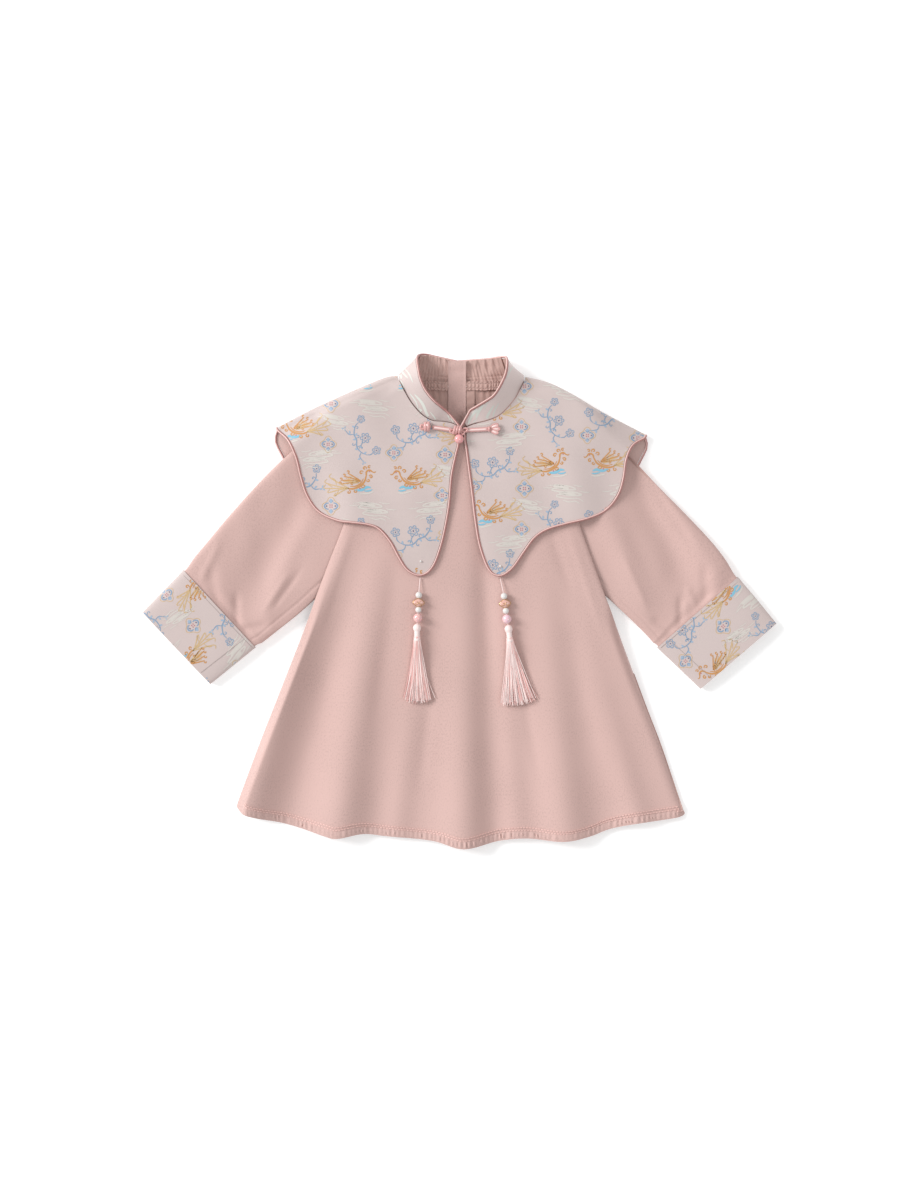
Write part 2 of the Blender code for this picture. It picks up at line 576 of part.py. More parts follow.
def sleeve_rings(rows, folds, parts, insets):
    """Rings of a flattened sleeve, each an inset inside the sleeve's outer face."""
    table = np.array([tuple(row) for row in rows])
    smooth_rows = along(table[:, 1:], np.linspace(0, 1, 120))
    row_parts = along(table, np.linspace(0, 1, 120))[:, 0]
    capes = [cape_back_outline(CAPE_LEFT), cape_back_outline(CAPE_RIGHT)]
    rings = []
    for part, inset in zip(parts, insets):
        values = [np.interp(part, row_parts, column) for column in smooth_rows.T]
        upper, lower, crown = np.array(values[:2]), np.array(values[2:4]), values[4]
        half = (upper - lower) / 2
        width = np.linalg.norm(half)
        direction = half / width
        centre = (upper + lower) / 2
        ring = []
        for step in range(SLEEVE_RING_POINTS):
            angle = 2 * math.pi * step / SLEEVE_RING_POINTS
            cosine, sine = math.cos(angle), math.sin(angle)
            across = math.copysign(abs(cosine) ** SLEEVE_SIDE_FULLNESS, cosine)
            place = centre + direction * across * (width - inset)
            on_body = 1.0 - smooth(8, 40, outside(BODY_OUTLINE, place[0], place[1]))
            on_cape = max(1.0 - smooth(6, 30, outside(cape, place[0], place[1])) for cape in capes)
            rest = max(SLEEVE_ROOT_REST * on_body, BACK_REST * on_cape) + inset
            middle = (rest + crown) / 2
            if sine >= 0:
                height = middle + (crown - inset - middle) * sine ** SLEEVE_CROWN_FULLNESS
                for fold in folds:
                    fade = float(1.0 - smooth(0.64, 0.73, part))
                    reach = ((part - fold.along) / fold.long) ** 2 + ((across - fold.across) / fold.wide) ** 2
                    height += fold.rise * fade * sine * math.exp(-reach)
            else:
                height = middle - (middle - rest) * (1.0 - max(0.0, 1.0 + sine / 0.5) ** 2)
            ring.append((place[0], place[1], height))
        rings.append(ring)
    return np.array(rings)


def make_sleeve(name, rows, folds, material, parent):
    """A long sleeve, one flattened tube, that runs on inside its cuff."""
    parts = np.concatenate([np.linspace(0, CUFF_START - 0.05, 11), [CUFF_START - 0.01, 0.80, 0.9, 0.985]])
    inside_cuff = (CLOTH + LAYER_GAP) * smooth(CUFF_START - 0.06, CUFF_START - 0.01, parts)
    face = sleeve_rings(rows, folds, parts, inside_cuff)
    inner = sleeve_rings(rows, folds, parts, inside_cuff + CLOTH)
    return cloth_wall(name, face, inner, material, parent, closed=True)


def make_cuff(name, rows, material, parent):
    """A turned-up cuff, one flattened tube round the sleeve's end."""
    parts = np.linspace(CUFF_START, 1.0, 5)
    plain = np.zeros(len(parts))
    face = sleeve_rings(rows, (), parts, plain)
    inner = sleeve_rings(rows, (), parts, plain + CLOTH)
    return cloth_wall(name, face, inner, material, parent, closed=True)


def cape_grid(half, down_count, front_count, back_count):
    """The outer face of a cape half: front flap, fold over the shoulder, back."""
    down = np.linspace(0.0, 1.0, down_count)
    silhouette = along(half.shoulder, down)
    heading = np.gradient(silhouette, axis=0)
    heading /= np.linalg.norm(heading, axis=1, keepdims=True)
    outward = np.stack([-heading[:, 1], heading[:, 0]], axis=-1) * -half.side
    outward *= np.sign(outward[:, 1:2])
    depth = CAPE_FOLD_DEPTH - CAPE_FOLD_THINNING * smooth(0.75, 1.0, down)
    depth = depth * (0.6 + 0.4 * smooth(0.0, 0.12, down))
    turn_line = silhouette - outward * depth[:, None]
    front_parts = np.linspace(0.0, 1.0, front_count)
    back_parts = np.linspace(0.0, 1.0, back_count)
    near = list(half.neck[:-1]) + [Spot(*turn_line[0])]
    far = list(half.lobes[:-1]) + [Spot(*turn_line[-1])]
    front = patch(near, far, half.centre_edge, turn_line, down, front_parts)
    back_near = [Spot(*turn_line[0])] + list(half.back_neck[1:])
    back_far = [Spot(*turn_line[-1])] + list(half.back_edge[1:])
    back = patch(back_near, back_far, turn_line, half.back_centre, down, back_parts)
    front_z = flap_height(front[..., 0], front[..., 1])
    at_neck = smooth(0.86, 1.0, front_parts)[None, :] * (1.0 - smooth(0.0, 0.3, down))[:, None]
    front_z = front_z - CAPE_NECK_DROP * at_neck
    top_z = front_z[:, -1]
    turns = []
    for angle in np.radians(CAPE_FOLD_TURNS):
        place = turn_line + outward * (depth * math.cos(angle))[:, None]
        turns.append(np.column_stack([place, top_z / 2 + top_z / 2 * math.sin(angle)]))
    turn = np.stack(turns, axis=1)
    front = np.dstack([front, front_z])
    back = np.dstack([back, np.zeros(back.shape[:2])])
    return np.concatenate([front, turn, back], axis=1)


def cape_inner(face, half):
    """The lining side of a cape half, one cloth inside the outer face."""
    return face - grid_normals(face, False) * CLOTH * half.side


def make_cape(name, half, material, parent):
    """Half of the cape collar."""
    face = cape_grid(half, *CAPE_GRID)
    return cloth_wall(name, face, cape_inner(face, half), material, parent)


def cape_edge(half):
    """The way of the piping, from centre front round to the centre back."""
    face = cape_grid(half, *CAPE_GRID)
    inner = cape_inner(face, half)
    middle = (face + inner) / 2
    outward = middle[-1] - middle[-2]
    outward /= np.linalg.norm(outward, axis=-1, keepdims=True)
    edge = middle[-1] + outward * PIPING_REACH
    aside = middle[:, 0] - middle[:, 1]
    aside /= np.linalg.norm(aside, axis=-1, keepdims=True)
    front_edge = middle[:, 0] + aside * PIPING_REACH
    mitre = (aside[-1] + outward[0]) / (1.0 + np.dot(aside[-1], outward[0]))
    front_count = CAPE_GRID[1]
    edge[:front_count, 2] = np.maximum(edge[:front_count, 2], PIPING_SIT + flap_height(
        edge[:front_count, 0], edge[:front_count, 1]))
    front_edge[:, 2] = np.maximum(front_edge[:, 2], PIPING_SIT + flap_height(
        front_edge[:, 0], front_edge[:, 1]))
    tip = middle[-1, 0] + mitre * PIPING_REACH
    tip[2] = max(front_edge[-1, 2], edge[0, 2])
    route = np.concatenate([front_edge[2:-1], [tip], edge[1:]])
    route[:, 2] = np.maximum(route[:, 2], PIPING_RADIUS)
    return route


def make_cape_piping(name, half, material, parent):
    """Satin piping round a cape half."""
    return tube(name, cape_edge(half), PIPING_RADIUS, 6, material, parent)


def collar_face(rows):
    """The outer face of half the stand collar, from its seam to its rim."""
    table = along([tuple(row) for row in rows], np.linspace(0.0, 1.0, COLLAR_COLUMNS))
    table[:, [2, 5]] = np.maximum(table[:, [2, 5]], 0.0)
    seam, rim = table[:, :3], table[:, 3:]
    share = np.linspace(0.0, 1.0, COLLAR_ROWS)[:, None, None]
    return seam[None] * (1 - share) + rim[None] * share


def collar_layer(face, sign, depth):
    """The collar's face moved in towards the neck."""
    return face - grid_normals(face, False) * sign * depth


def make_collar(name, rows, sign, material, parent):
    """Half of the stand collar, from centre front to centre back."""
    face = collar_face(rows)
    return cloth_wall(name, face, collar_layer(face, sign, CLOTH), material, parent)


def finer(grid, count):
    """The same grid with more columns, which lie on the straight lines between its own."""
    columns = grid.shape[1]
    wanted = np.linspace(0, columns - 1, count)
    first = np.minimum(wanted.astype(int), columns - 2)
    share = (wanted - first)[None, :, None]
    return grid[:, first] * (1 - share) + grid[:, first + 1] * share


def make_facing(name, rows, sign, material, parent):
    """The pink inside of the stand collar at the back, gathered on elastic."""
    face = collar_face(rows)
    first = FACING_FIRST_COLUMN
    near = finer(collar_layer(face, sign, CLOTH + SEAM_GAP)[1:, first:], FACING_COLUMNS)
    far = finer(collar_layer(face, sign, 2 * CLOTH + SEAM_GAP)[1:, first:], FACING_COLUMNS)
    across = np.arange(FACING_COLUMNS)
    wave = FACING_GATHER_HEIGHT * (across % 2) * (across > 1) * (across < FACING_COLUMNS - 2)
    inward = far - near
    inward /= np.linalg.norm(inward, axis=-1, keepdims=True)
    far = far + inward * wave[None, :, None]
    return cloth_wall(name, far, near, material, parent)


def make_collar_piping(name, rows, sign, material, parent):
    """Piping on the rim of half the collar."""
    middle = collar_layer(collar_face(rows), sign, CLOTH / 2)
    outward = middle[-1] - middle[-2]
    outward /= np.linalg.norm(outward, axis=-1, keepdims=True)
    route = middle[-1] + outward * PIPING_REACH
    route[:, 2] = np.maximum(route[:, 2], PIPING_RADIUS)
    return tube(name, route[2:-1], PIPING_RADIUS, 6, material, parent)


def blob(name, knot, base, material, parent, around=12, up=5, lobes=0, lobe_depth=0.0):
    """A rounded piece that sits on the cloth."""
    vertices = [(knot.x, knot.y, base)]
    faces = []
    for level in range(1, up):
        angle = math.pi * level / up
        for step in range(around):
            turn = 2 * math.pi * step / around
            reach = math.sin(angle) * (1.0 + lobe_depth * math.cos(lobes * turn))
            vertices.append((knot.x + knot.long / 2 * reach * math.cos(turn),
                             knot.y + knot.wide / 2 * reach * math.sin(turn),
                             base + knot.high / 2 * (1.0 - math.cos(angle))))
    vertices.append((knot.x, knot.y, base + knot.high))
    for step in range(around):
        following = (step + 1) % around
        faces.append((0, 1 + following, 1 + step))
        for level in range(up - 2):
            a, b = 1 + level * around + step, 1 + level * around + following
            faces.append((a, b, b + around, a + around))
        last = 1 + (up - 2) * around
        faces.append((last + step, last + following, len(vertices) - 1))
    return add_object(name, vertices, faces, material, parent)


def make_frog(material, ball_material, parent):
    """The knotted fastening across the neck opening."""
    def base(x, y):
        return float(flap_height(np.array(x), np.array(y))) + FROG_LIFT

    end = FROG_END_KNOT
    blob("frog_end_knot", end, base(end.x, end.y), material, parent, lobes=4, lobe_depth=0.12)
    centre = FROG_CENTRE_KNOT
    blob("frog_button_knot", centre, base(centre.x, centre.y), material, parent, lobes=6, lobe_depth=0.08)
    ball = FROG_BALL
    blob("frog_ball", ball, base(ball.x, ball.y) - FROG_BALL_SINK, ball_material, parent)
    for name, spots in (("frog_bar_left", FROG_BAR_LEFT), ("frog_bar_right", FROG_BAR_RIGHT)):
        places = along(spots, np.linspace(0, 1, 7))
        route = [(x, y, base(x, y) + FROG_CORD_RADIUS) for x, y in places]
        tube(name, route, FROG_CORD_RADIUS, 8, material, parent, ends=0.7)
    for number, degrees in enumerate(FROG_FAN_TURNS, start=1):
        turn = math.radians(degrees)
        x = FROG_FAN_HUB.x + FROG_FAN_REACH.x * math.cos(turn)
        y = FROG_FAN_HUB.y + FROG_FAN_REACH.y * math.sin(turn)
        petal = Knot(x, y, *FROG_PETAL_SIZE)
        blob("frog_petal_%d" % number, petal, base(x, y), material, parent, around=10)


def skirt_height(x, y):
    """The front's height under a pendant."""
    return float(front_height(np.array(float(x)), np.array(float(y))))


def make_bead(name, bead, place, heading, material, parent):
    """A bead turned round a bore, threaded on its pendant."""
    forward = heading / np.linalg.norm(heading)
    aside = np.cross((0.0, 0.0, 1.0), forward)
    aside /= np.linalg.norm(aside)
    lift = np.cross(forward, aside)
    bore = THREAD_RADIUS + BEAD_BORE_GAP
    around = BEAD_AROUND
    profile = []
    for level in range(BEAD_LEVELS + 1):
        angle = math.pi * (0.08 + 0.84 * level / BEAD_LEVELS)
        profile.append((-math.cos(angle) * bead.height / 2, math.sin(angle)))
    vertices = []
    for distance, reach in profile + [(profile[-1][0], 0.0), (profile[0][0], 0.0)]:
        wide = bore if reach == 0.0 else max(bore + 0.5, reach * bead.diameter / 2)
        deep = bore if reach == 0.0 else max(bore + 0.5, reach * bead.thickness / 2)
        for step in range(around):
            turn = 2 * math.pi * step / around
            vertices.append(place + forward * distance
                            + aside * math.cos(turn) * wide + lift * math.sin(turn) * deep)
    faces = []
    rings = len(profile) + 2
    for ring in range(rings):
        for step in range(around):
            following = (step + 1) % around
            below = (ring + 1) % rings
            faces.append((ring * around + step, ring * around + following,
                          below * around + following, below * around + step))
    return add_object(name, vertices, faces, material, parent)


def make_thread(name, route, material, parent):
    """The thread that a pendant hangs on."""
    curve = bpy.data.curves.new(name, "CURVE")
    curve.dimensions = "3D"
    curve.bevel_depth = THREAD_RADIUS * MM
    curve.bevel_resolution = 2
    curve.use_fill_caps = True
    spline = curve.splines.new("POLY")
    spline.points.add(len(route) - 1)
    for point, place in zip(spline.points, route):
        point.co = (*in_metres(place), 1.0)
    curve.materials.append(material)
    thread = bpy.data.objects.new(name, curve)
    bpy.context.collection.objects.link(thread)
    thread.parent = parent
    return thread


def make_tassel(name, pendant, head_z, material, parent):
    """A tassel: round head, bound neck and fanned strands that lie on the skirt."""
    head = np.array((pendant.head_x, pendant.head_y, head_z))
    end = np.array((pendant.end_x, pendant.end_y, 0.0))
    forward = (end - head) * (1.0, 1.0, 0.0)
    length = np.linalg.norm(forward)
    forward /= length
    aside = np.array((-forward[1], forward[0], 0.0))
    lift = np.array((0.0, 0.0, 1.0))
    around = TASSEL_AROUND
    vertices = []
    faces = []
    for distance, radius in TASSEL_PROFILE:
        for step in range(around):
            turn = 2 * math.pi * step / around
            vertices.append(head + forward * distance
                            + (aside * math.cos(turn) + lift * math.sin(turn)) * radius)
    last = (len(TASSEL_PROFILE) - 1) * around
    for a in range(last):
        b = a + 1 if (a + 1) % around else a + 1 - around
        faces.append((a, b, b + around, a + around))
    faces.append(tuple(range(around)))
    faces.append(tuple(range(last, last + around)))
    body = add_object(name, vertices, faces, material, parent)
    outermost = STRAND_RINGS[-1].radius
    fringe_vertices = []
    fringe_faces = []
    for ring_radius, count in STRAND_RINGS:
        for step in range(count):
            turn = 2 * math.pi * (step + 0.25) / count
            place, layer = ring_radius * math.cos(turn), ring_radius * math.sin(turn)
            reach = length - STRAND_ROOT - STRAND_TIP_RISE * (place / outermost) ** 2
            first = len(fringe_vertices)
            for part in STRAND_LEVELS:
                wider = 1.0 + (pendant.spread / 2 / outermost - 1.0) * part ** 1.4
                spot = head + forward * (STRAND_ROOT + reach * part) + aside * place * wider
                rest = skirt_height(spot[0], spot[1]) + STRAND_PILE
                settle = float(smooth(0.0, 0.6, part))
                spot[2] = head_z * (1 - settle) + rest * settle + layer * (1.0 - 0.4 * settle)
                size = STRAND_RADIUS * (1.1 - 0.35 * part)
                for corner in range(3):
                    angle = 2 * math.pi * corner / 3 + math.pi / 2
                    fringe_vertices.append(spot + (aside * math.cos(angle) + lift * math.sin(angle)) * size)
            for level in range(4):
                a = first + 3 * level
                for corner in range(3):
                    b = a + (corner + 1) % 3
                    fringe_faces.append((a + corner, b, b + 3, a + corner + 3))
            fringe_faces.append((first, first + 1, first + 2))
            fringe_faces.append((first + 14, first + 13, first + 12))
    fringe = add_object(name + "_strands", fringe_vertices, fringe_faces, material, parent)
    fringe.hide_render = True
    fringe.display_type = "WIRE"
    fuse = body.modifiers.new("strands", "BOOLEAN")
    fuse.operation = "UNION"
    fuse.object = fringe
    return body


def make_pendant(pendant, materials, parent):
    """Thread, beads and tassel, lying from the flap's tip down the skirt."""
    centres = []
    for bead in pendant.beads:
        centres.append(np.array((bead.x, bead.y, skirt_height(bead.x, bead.y) + bead.lift)))
    head_z = skirt_height(pendant.head_x, pendant.head_y) + TASSEL_HEAD_LIFT
    head = np.array((pendant.head_x, pendant.head_y, head_z))
    start_z = skirt_height(pendant.start_x, pendant.start_y) + THREAD_START_LIFT
    stops = [np.array((pendant.start_x, pendant.start_y, start_z))] + centres + [head]
    for index, (bead, centre) in enumerate(zip(pendant.beads, centres)):
        slot = "pearl" if bead.name.startswith("pearl") else bead.name + "_" + pendant.side
        name = "pendant_%s_%s" % (pendant.side, bead.name)
        make_bead(name, bead, centre, stops[index + 2] - stops[index], materials[slot], parent)
    last = head + (stops[-2] - head) * 0.48
    make_thread("pendant_%s_thread" % pendant.side, along(stops[:-1] + [last], np.linspace(0, 1, 13)),
                materials["thread"], parent)
    make_tassel("pendant_%s_tassel" % pendant.side, pendant, head_z, materials["tassel"], parent)


def make_dress():
    """Every piece of the dress."""
    for old in list(bpy.data.objects):
        bpy.data.objects.remove(old)
    dress = bpy.data.objects.new("dress", None)
    bpy.context.collection.objects.link(dress)
    rose = make_material("rose_cloth", (0.62, 0.42, 0.38), 0.75)
    brocade = make_material("brocade", (0.72, 0.62, 0.60), 0.45)
    satin = make_material("piping_satin", (0.68, 0.30, 0.31), 0.35)
    coral = make_material("coral_bead", (0.80, 0.42, 0.40), 0.2)
    materials = {
        "pearl": make_material("pearl", (0.90, 0.87, 0.84), 0.15),
        "cloud_bead_left": make_material("cloud_bead", (0.72, 0.45, 0.36), 0.3, 0.3),
        "round_bead_left": coral,
        "round_bead_right": make_material("lilac_bead", (0.84, 0.60, 0.66), 0.2),
        "thread": make_material("thread", (0.80, 0.55, 0.54), 0.5),
        "tassel": make_material("tassel_silk", (0.86, 0.68, 0.66), 0.4),
    }
    materials["cloud_bead_right"] = materials["cloud_bead_left"]
    make_front(rose, dress)
    make_back("left", rose, dress)
    make_back("right", rose, dress)
    make_placket(rose, dress)
    make_sleeve("sleeve_left", SLEEVE_LEFT, SLEEVE_FOLDS_LEFT, rose, dress)
    make_sleeve("sleeve_right", SLEEVE_RIGHT, SLEEVE_FOLDS_RIGHT, rose, dress)
    make_cuff("cuff_left", SLEEVE_LEFT, brocade, dress)
    make_cuff("cuff_right", SLEEVE_RIGHT, brocade, dress)
    for half, side in ((CAPE_LEFT, "left"), (CAPE_RIGHT, "right")):
        make_cape("cape_" + side, half, brocade, dress)
        make_cape_piping("cape_piping_" + side, half, satin, dress)
    for rows, side, sign in ((COLLAR_LEFT, "left", 1), (COLLAR_RIGHT, "right", -1)):
        make_collar("collar_" + side, rows, sign, brocade, dress)
        make_facing("collar_facing_" + side, rows, sign, rose, dress)
        make_collar_piping("collar_piping_" + side, rows, sign, satin, dress)
    make_frog(satin, coral, dress)
    for pendant in (PENDANT_LEFT, PENDANT_RIGHT):
        make_pendant(pendant, materials, dress)


make_dress()
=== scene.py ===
"""A child's chinese-style dress, laid flat on its back: cloth, brocade, frog, beads and tassels."""
import json
import math
import random
from collections import namedtuple

import bmesh
import bpy
import numpy as np
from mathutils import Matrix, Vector
from mathutils.bvhtree import BVHTree

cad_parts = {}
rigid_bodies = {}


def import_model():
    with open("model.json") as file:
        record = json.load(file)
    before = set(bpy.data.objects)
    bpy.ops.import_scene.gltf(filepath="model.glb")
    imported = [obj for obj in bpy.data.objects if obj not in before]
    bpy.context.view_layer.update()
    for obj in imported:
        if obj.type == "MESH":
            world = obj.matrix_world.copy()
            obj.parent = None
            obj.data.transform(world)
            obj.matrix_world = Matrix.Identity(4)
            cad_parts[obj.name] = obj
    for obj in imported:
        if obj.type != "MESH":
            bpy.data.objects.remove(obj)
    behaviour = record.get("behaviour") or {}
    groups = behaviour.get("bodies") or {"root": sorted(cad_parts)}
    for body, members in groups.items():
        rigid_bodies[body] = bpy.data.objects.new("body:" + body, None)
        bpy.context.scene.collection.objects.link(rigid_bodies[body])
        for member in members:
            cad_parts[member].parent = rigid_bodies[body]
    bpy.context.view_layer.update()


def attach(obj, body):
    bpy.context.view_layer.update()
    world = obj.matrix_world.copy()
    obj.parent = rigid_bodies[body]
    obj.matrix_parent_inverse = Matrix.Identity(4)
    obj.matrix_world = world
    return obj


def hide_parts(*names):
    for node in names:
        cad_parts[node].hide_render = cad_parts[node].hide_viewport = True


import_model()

bl_info = {
    "name": "Laid dress with brocade cape collar",
    "version": (1, 0, 0),
    "blender": (4, 5, 0),
    "location": "3D View > Sidebar > Dress",
    "description": "Makes the cloth, brocade, fastening and pendants of a child's dress",
    "category": "Add Mesh",
}

MM = 0.001
# Where the middle of the laid dress lies in the tables, which are in millimetres
LAY_MIDDLE = (0.0, 0.92, 0.0)

# Cloth and the room between pieces
WALL = 1.2
CLOTH = 1.0
SEAM_GAP = 0.3
LAYER_GAP = 0.5
SLEEVE_GAP = 0.5
PIPING_SIT = 0.05

# Heights of the layers as the dress lies
BACK_REST = 2.9
SLEEVE_ROOT_REST = 4.5
SLEEVE_ROOT_CROWN = 13.0
CHEST_HEIGHT = 15.0
WAIST_HEIGHT = 17.2
HEM_HEIGHT = 6.0
CHEST_UP = 170.0
WAIST_UP = 80.0
SKIRT_UP = 70.0
HEM_UP = -235.0
SHOULDER_ROLL = 9.0
SIDE_ROLL = 11.0
BACK_OPENING_X = -2.5
BACK_OPENING_LENGTH = 150.0
BACK_NECK_UP = 222.5
BACK_HEM_UP = -246.0
BACK_HEM_RISE = 5.0
BACK_SIDE_INSET = 0.4
PLACKET_TOP_UP = 250.0
PLACKET_WIDTH = 18.5


def rows_of(kind, *rows):
    """Plain rows of numbers as rows with named columns."""
    return tuple(kind(*row) for row in rows)


# The body's side edges, from the shoulder tips down to the hem
SideRow = namedtuple("SideRow", "up left right")
BODY_SIDES = rows_of(
    SideRow,
    (196, -128, 133), (168, -121, 128), (137, -117, 125),
    (106, -116.5, 123), (82, -119.5, 124), (39, -136, 139),
    (7, -148, 150.5), (-18, -157, 160), (-102, -190, 191),
    (-148, -208, 208.5), (-206, -229.5, 228), (-214, -231, 232),
)

# The front's upper edge, the hem and the back's upper edge
Spot = namedtuple("Spot", "x y")
FRONT_TOP = rows_of(
    Spot,
    (-128, 196), (-98, 209.5), (-70, 222), (-60.5, 214), (-51.5, 202),
    (-40.5, 190.5), (-29, 184), (-15, 182), (2, 180), (19, 182),
    (33, 184), (44, 190), (56, 203), (66, 214), (75, 221),
    (103, 209), (133, 196),
)
HEM_EDGE = rows_of(
    Spot,
    (-231, -214), (-224, -220.5), (-208, -225), (-185, -229.5), (-162, -236),
    (-140, -243), (-127, -245.5), (-101, -241), (-78, -243), (-28, -248),
    (4.5, -256), (42, -248), (70, -245.5), (107, -248.5), (135, -243.5),
    (156, -236), (182, -230.5), (230, -223), (232, -214),
)
BACK_TOP = rows_of(
    Spot,
    (-128, 196), (-98, 209.5), (-66, 224), (-40, 223.5), (0, 222.5),
    (42, 223.5), (70, 223), (103, 209), (133, 196),
)
SHOULDER_SEAM_LEFT = rows_of(Spot, (-128, 196), (-98, 209.5), (-70, 222), (-60, 240))
SHOULDER_SEAM_RIGHT = rows_of(Spot, (60, 240), (75, 221), (103, 209), (133, 196))
NECK_LEFT_X = -62.0
NECK_RIGHT_X = 64.0

# The skirt's folds: where each ridge begins and where it meets the hem
Fold = namedtuple("Fold", "top_x top_y hem_x hem_y height half_width")
SKIRT_FOLDS = (
    Fold(-84, 70, -127, -246, 10.5, 27),
    Fold(3, 60, 5, -256, 12.0, 29),
    Fold(84, 70, 111, -248, 10.5, 27),
    Fold(118, 10, 186, -229, 5.0, 17),
    Fold(-40, -30, -66, -245, 3.0, 15),
    Fold(46, -30, 60, -246, 3.0, 15),
)

# Each sleeve from its root inside the body to its end: the upper and lower edges as it lies
SleeveRow = namedtuple("SleeveRow", "part upper_x upper_y lower_x lower_y crown")
CUFF_START = 0.76
SLEEVE_SIDE_FULLNESS = 0.6
SLEEVE_CROWN_FULLNESS = 0.62
SLEEVE_LEFT = rows_of(
    SleeveRow,
    (0.00, -126.5, 183, -113, 35, 12.2),
    (0.08, -147, 176.5, -125.5, 23, 12.1),
    (0.20, -174.5, 155.5, -143, 9, 11.8),
    (0.35, -205.5, 126, -165, -11, 11.4),
    (0.53, -239, 89, -187, -28.5, 11.2),
    (0.66, -264.5, 58.5, -201.5, -40, 11.6),
    (0.76, -286.5, 33, -211.5, -47.5, 12.0),
    (0.88, -307.5, 11, -235, -66.5, 11.6),
    (1.00, -329, -11, -258.5, -85.5, 10.4),
)
SLEEVE_RIGHT = rows_of(
    SleeveRow,
    (0.00, 131.5, 183, 119, 35, 12.2),
    (0.08, 150, 175, 131.5, 22.5, 12.1),
    (0.20, 176.5, 151, 147, 10, 11.8),
    (0.35, 204.5, 121.5, 165, -6.5, 11.4),
    (0.53, 239.5, 86, 185, -25.5, 11.2),
    (0.66, 266, 57, 198, -39, 11.6),
    (0.76, 289, 26, 205, -47.5, 12.0),
    (0.88, 309, 2, 227.5, -69, 11.6),
    (1.00, 329, -22.5, 250, -90.5, 10.4),
)

# Soft ridges and troughs on a sleeve's upper face: where each begins and ends, along and across
SleeveFold = namedtuple("SleeveFold", "along across end_along end_across wide rise")
SLEEVE_FOLDS_LEFT = rows_of(
    SleeveFold,
    (0.15, 0.30, 0.72, -0.30, 0.42, -4.6),
    (0.10, 1.00, 0.74, 0.92, 0.20, 1.2),
    (0.18, 0.05, 0.60, -0.72, 0.22, 2.2),
    (0.30, -0.52, 0.50, -0.66, 0.05, -1.2),
    (0.36, -0.42, 0.56, -0.58, 0.05, 0.9),
    (0.69, 0.60, 0.75, 0.10, 0.10, -1.6),
    (0.66, -0.05, 0.75, -0.45, 0.09, -1.8),
    (0.60, -0.80, 0.75, -0.60, 0.08, -1.5),
    (0.62, 0.80, 0.74, 0.62, 0.08, 1.0),
)
SLEEVE_FOLDS_RIGHT = rows_of(
    SleeveFold,
    (0.00, 0.20, 0.55, -0.72, 0.30, 4.2),
    (0.12, 0.98, 0.70, 0.12, 0.32, -5.0),
    (0.40, 0.86, 0.74, 0.66, 0.24, 2.4),
    (0.36, 0.88, 0.58, 0.70, 0.10, -1.4),
    (0.30, -0.35, 0.52, -0.66, 0.08, 0.9),
    (0.67, 0.60, 0.75, 0.25, 0.10, -1.6),
    (0.66, -0.10, 0.75, -0.40, 0.09, -1.8),
    (0.60, -0.72, 0.75, -0.58, 0.08, -1.5),
    (0.66, 0.10, 0.74, 0.04, 0.07, 1.0),
)
SLEEVE_SEAM_ACROSS = -0.86
SLEEVE_POINTS = 160
# How much longer a sleeve is than half its width, so that folds are as wide along as across
SLEEVE_LONG = 4.2
# Each cuff seam, drawn as a darker line that paints the shade along the seam: where it begins and ends along
# the sleeve, and across it
CUFF_SEAMS = (((0.765, 0.995), (-0.74, -0.70)), ((0.772, 0.772), (-0.96, 0.94)))

# The cape collar, one outline for each half
CapeHalf = namedtuple("CapeHalf", "side neck centre_edge lobes shoulder back_edge back_neck back_centre")
CAPE_LEFT = CapeHalf(
    side=-1,
    neck=rows_of(Spot, (-2.5, 182), (-8, 184), (-17.4, 185.4), (-29, 186.2), (-40, 192.2),
                 (-50.4, 203.8), (-58.4, 216.6), (-63.4, 226.5), (-64.2, 234.5)),
    centre_edge=rows_of(Spot, (-2.5, 182), (-2.5, 165), (-5.5, 152), (-10, 130), (-12.5, 101),
                        (-16.8, 75.5), (-21, 58), (-27, 41), (-33.4, 31.5), (-39.5, 28)),
    lobes=rows_of(Spot, (-39.5, 28), (-46, 29.5), (-54, 35.5), (-61.5, 47.5), (-70, 63),
                  (-81.5, 76), (-93, 80.5), (-110, 82.8), (-125, 85), (-144, 94),
                  (-156, 110.5), (-162.5, 130), (-167.5, 150), (-176, 168), (-186, 178)),
    shoulder=rows_of(Spot, (-64.2, 234.5), (-79, 232), (-119, 215), (-153.5, 199.5),
                     (-188.5, 181.5)),
    back_edge=rows_of(Spot, (-188.5, 181.5), (-191, 170), (-185, 157), (-176, 140),
                      (-168, 118), (-154, 98), (-128, 86), (-98, 82), (-74, 70),
                      (-52, 56), (-24, 50), (-2.8, 50)),
    back_neck=rows_of(Spot, (-64.2, 234.5), (-56, 226.5), (-42, 224), (-20, 223.6),
                      (-2.8, 223.4)),
    back_centre=rows_of(Spot, (-2.8, 223.4), (-2.8, 130), (-2.8, 50)),
)
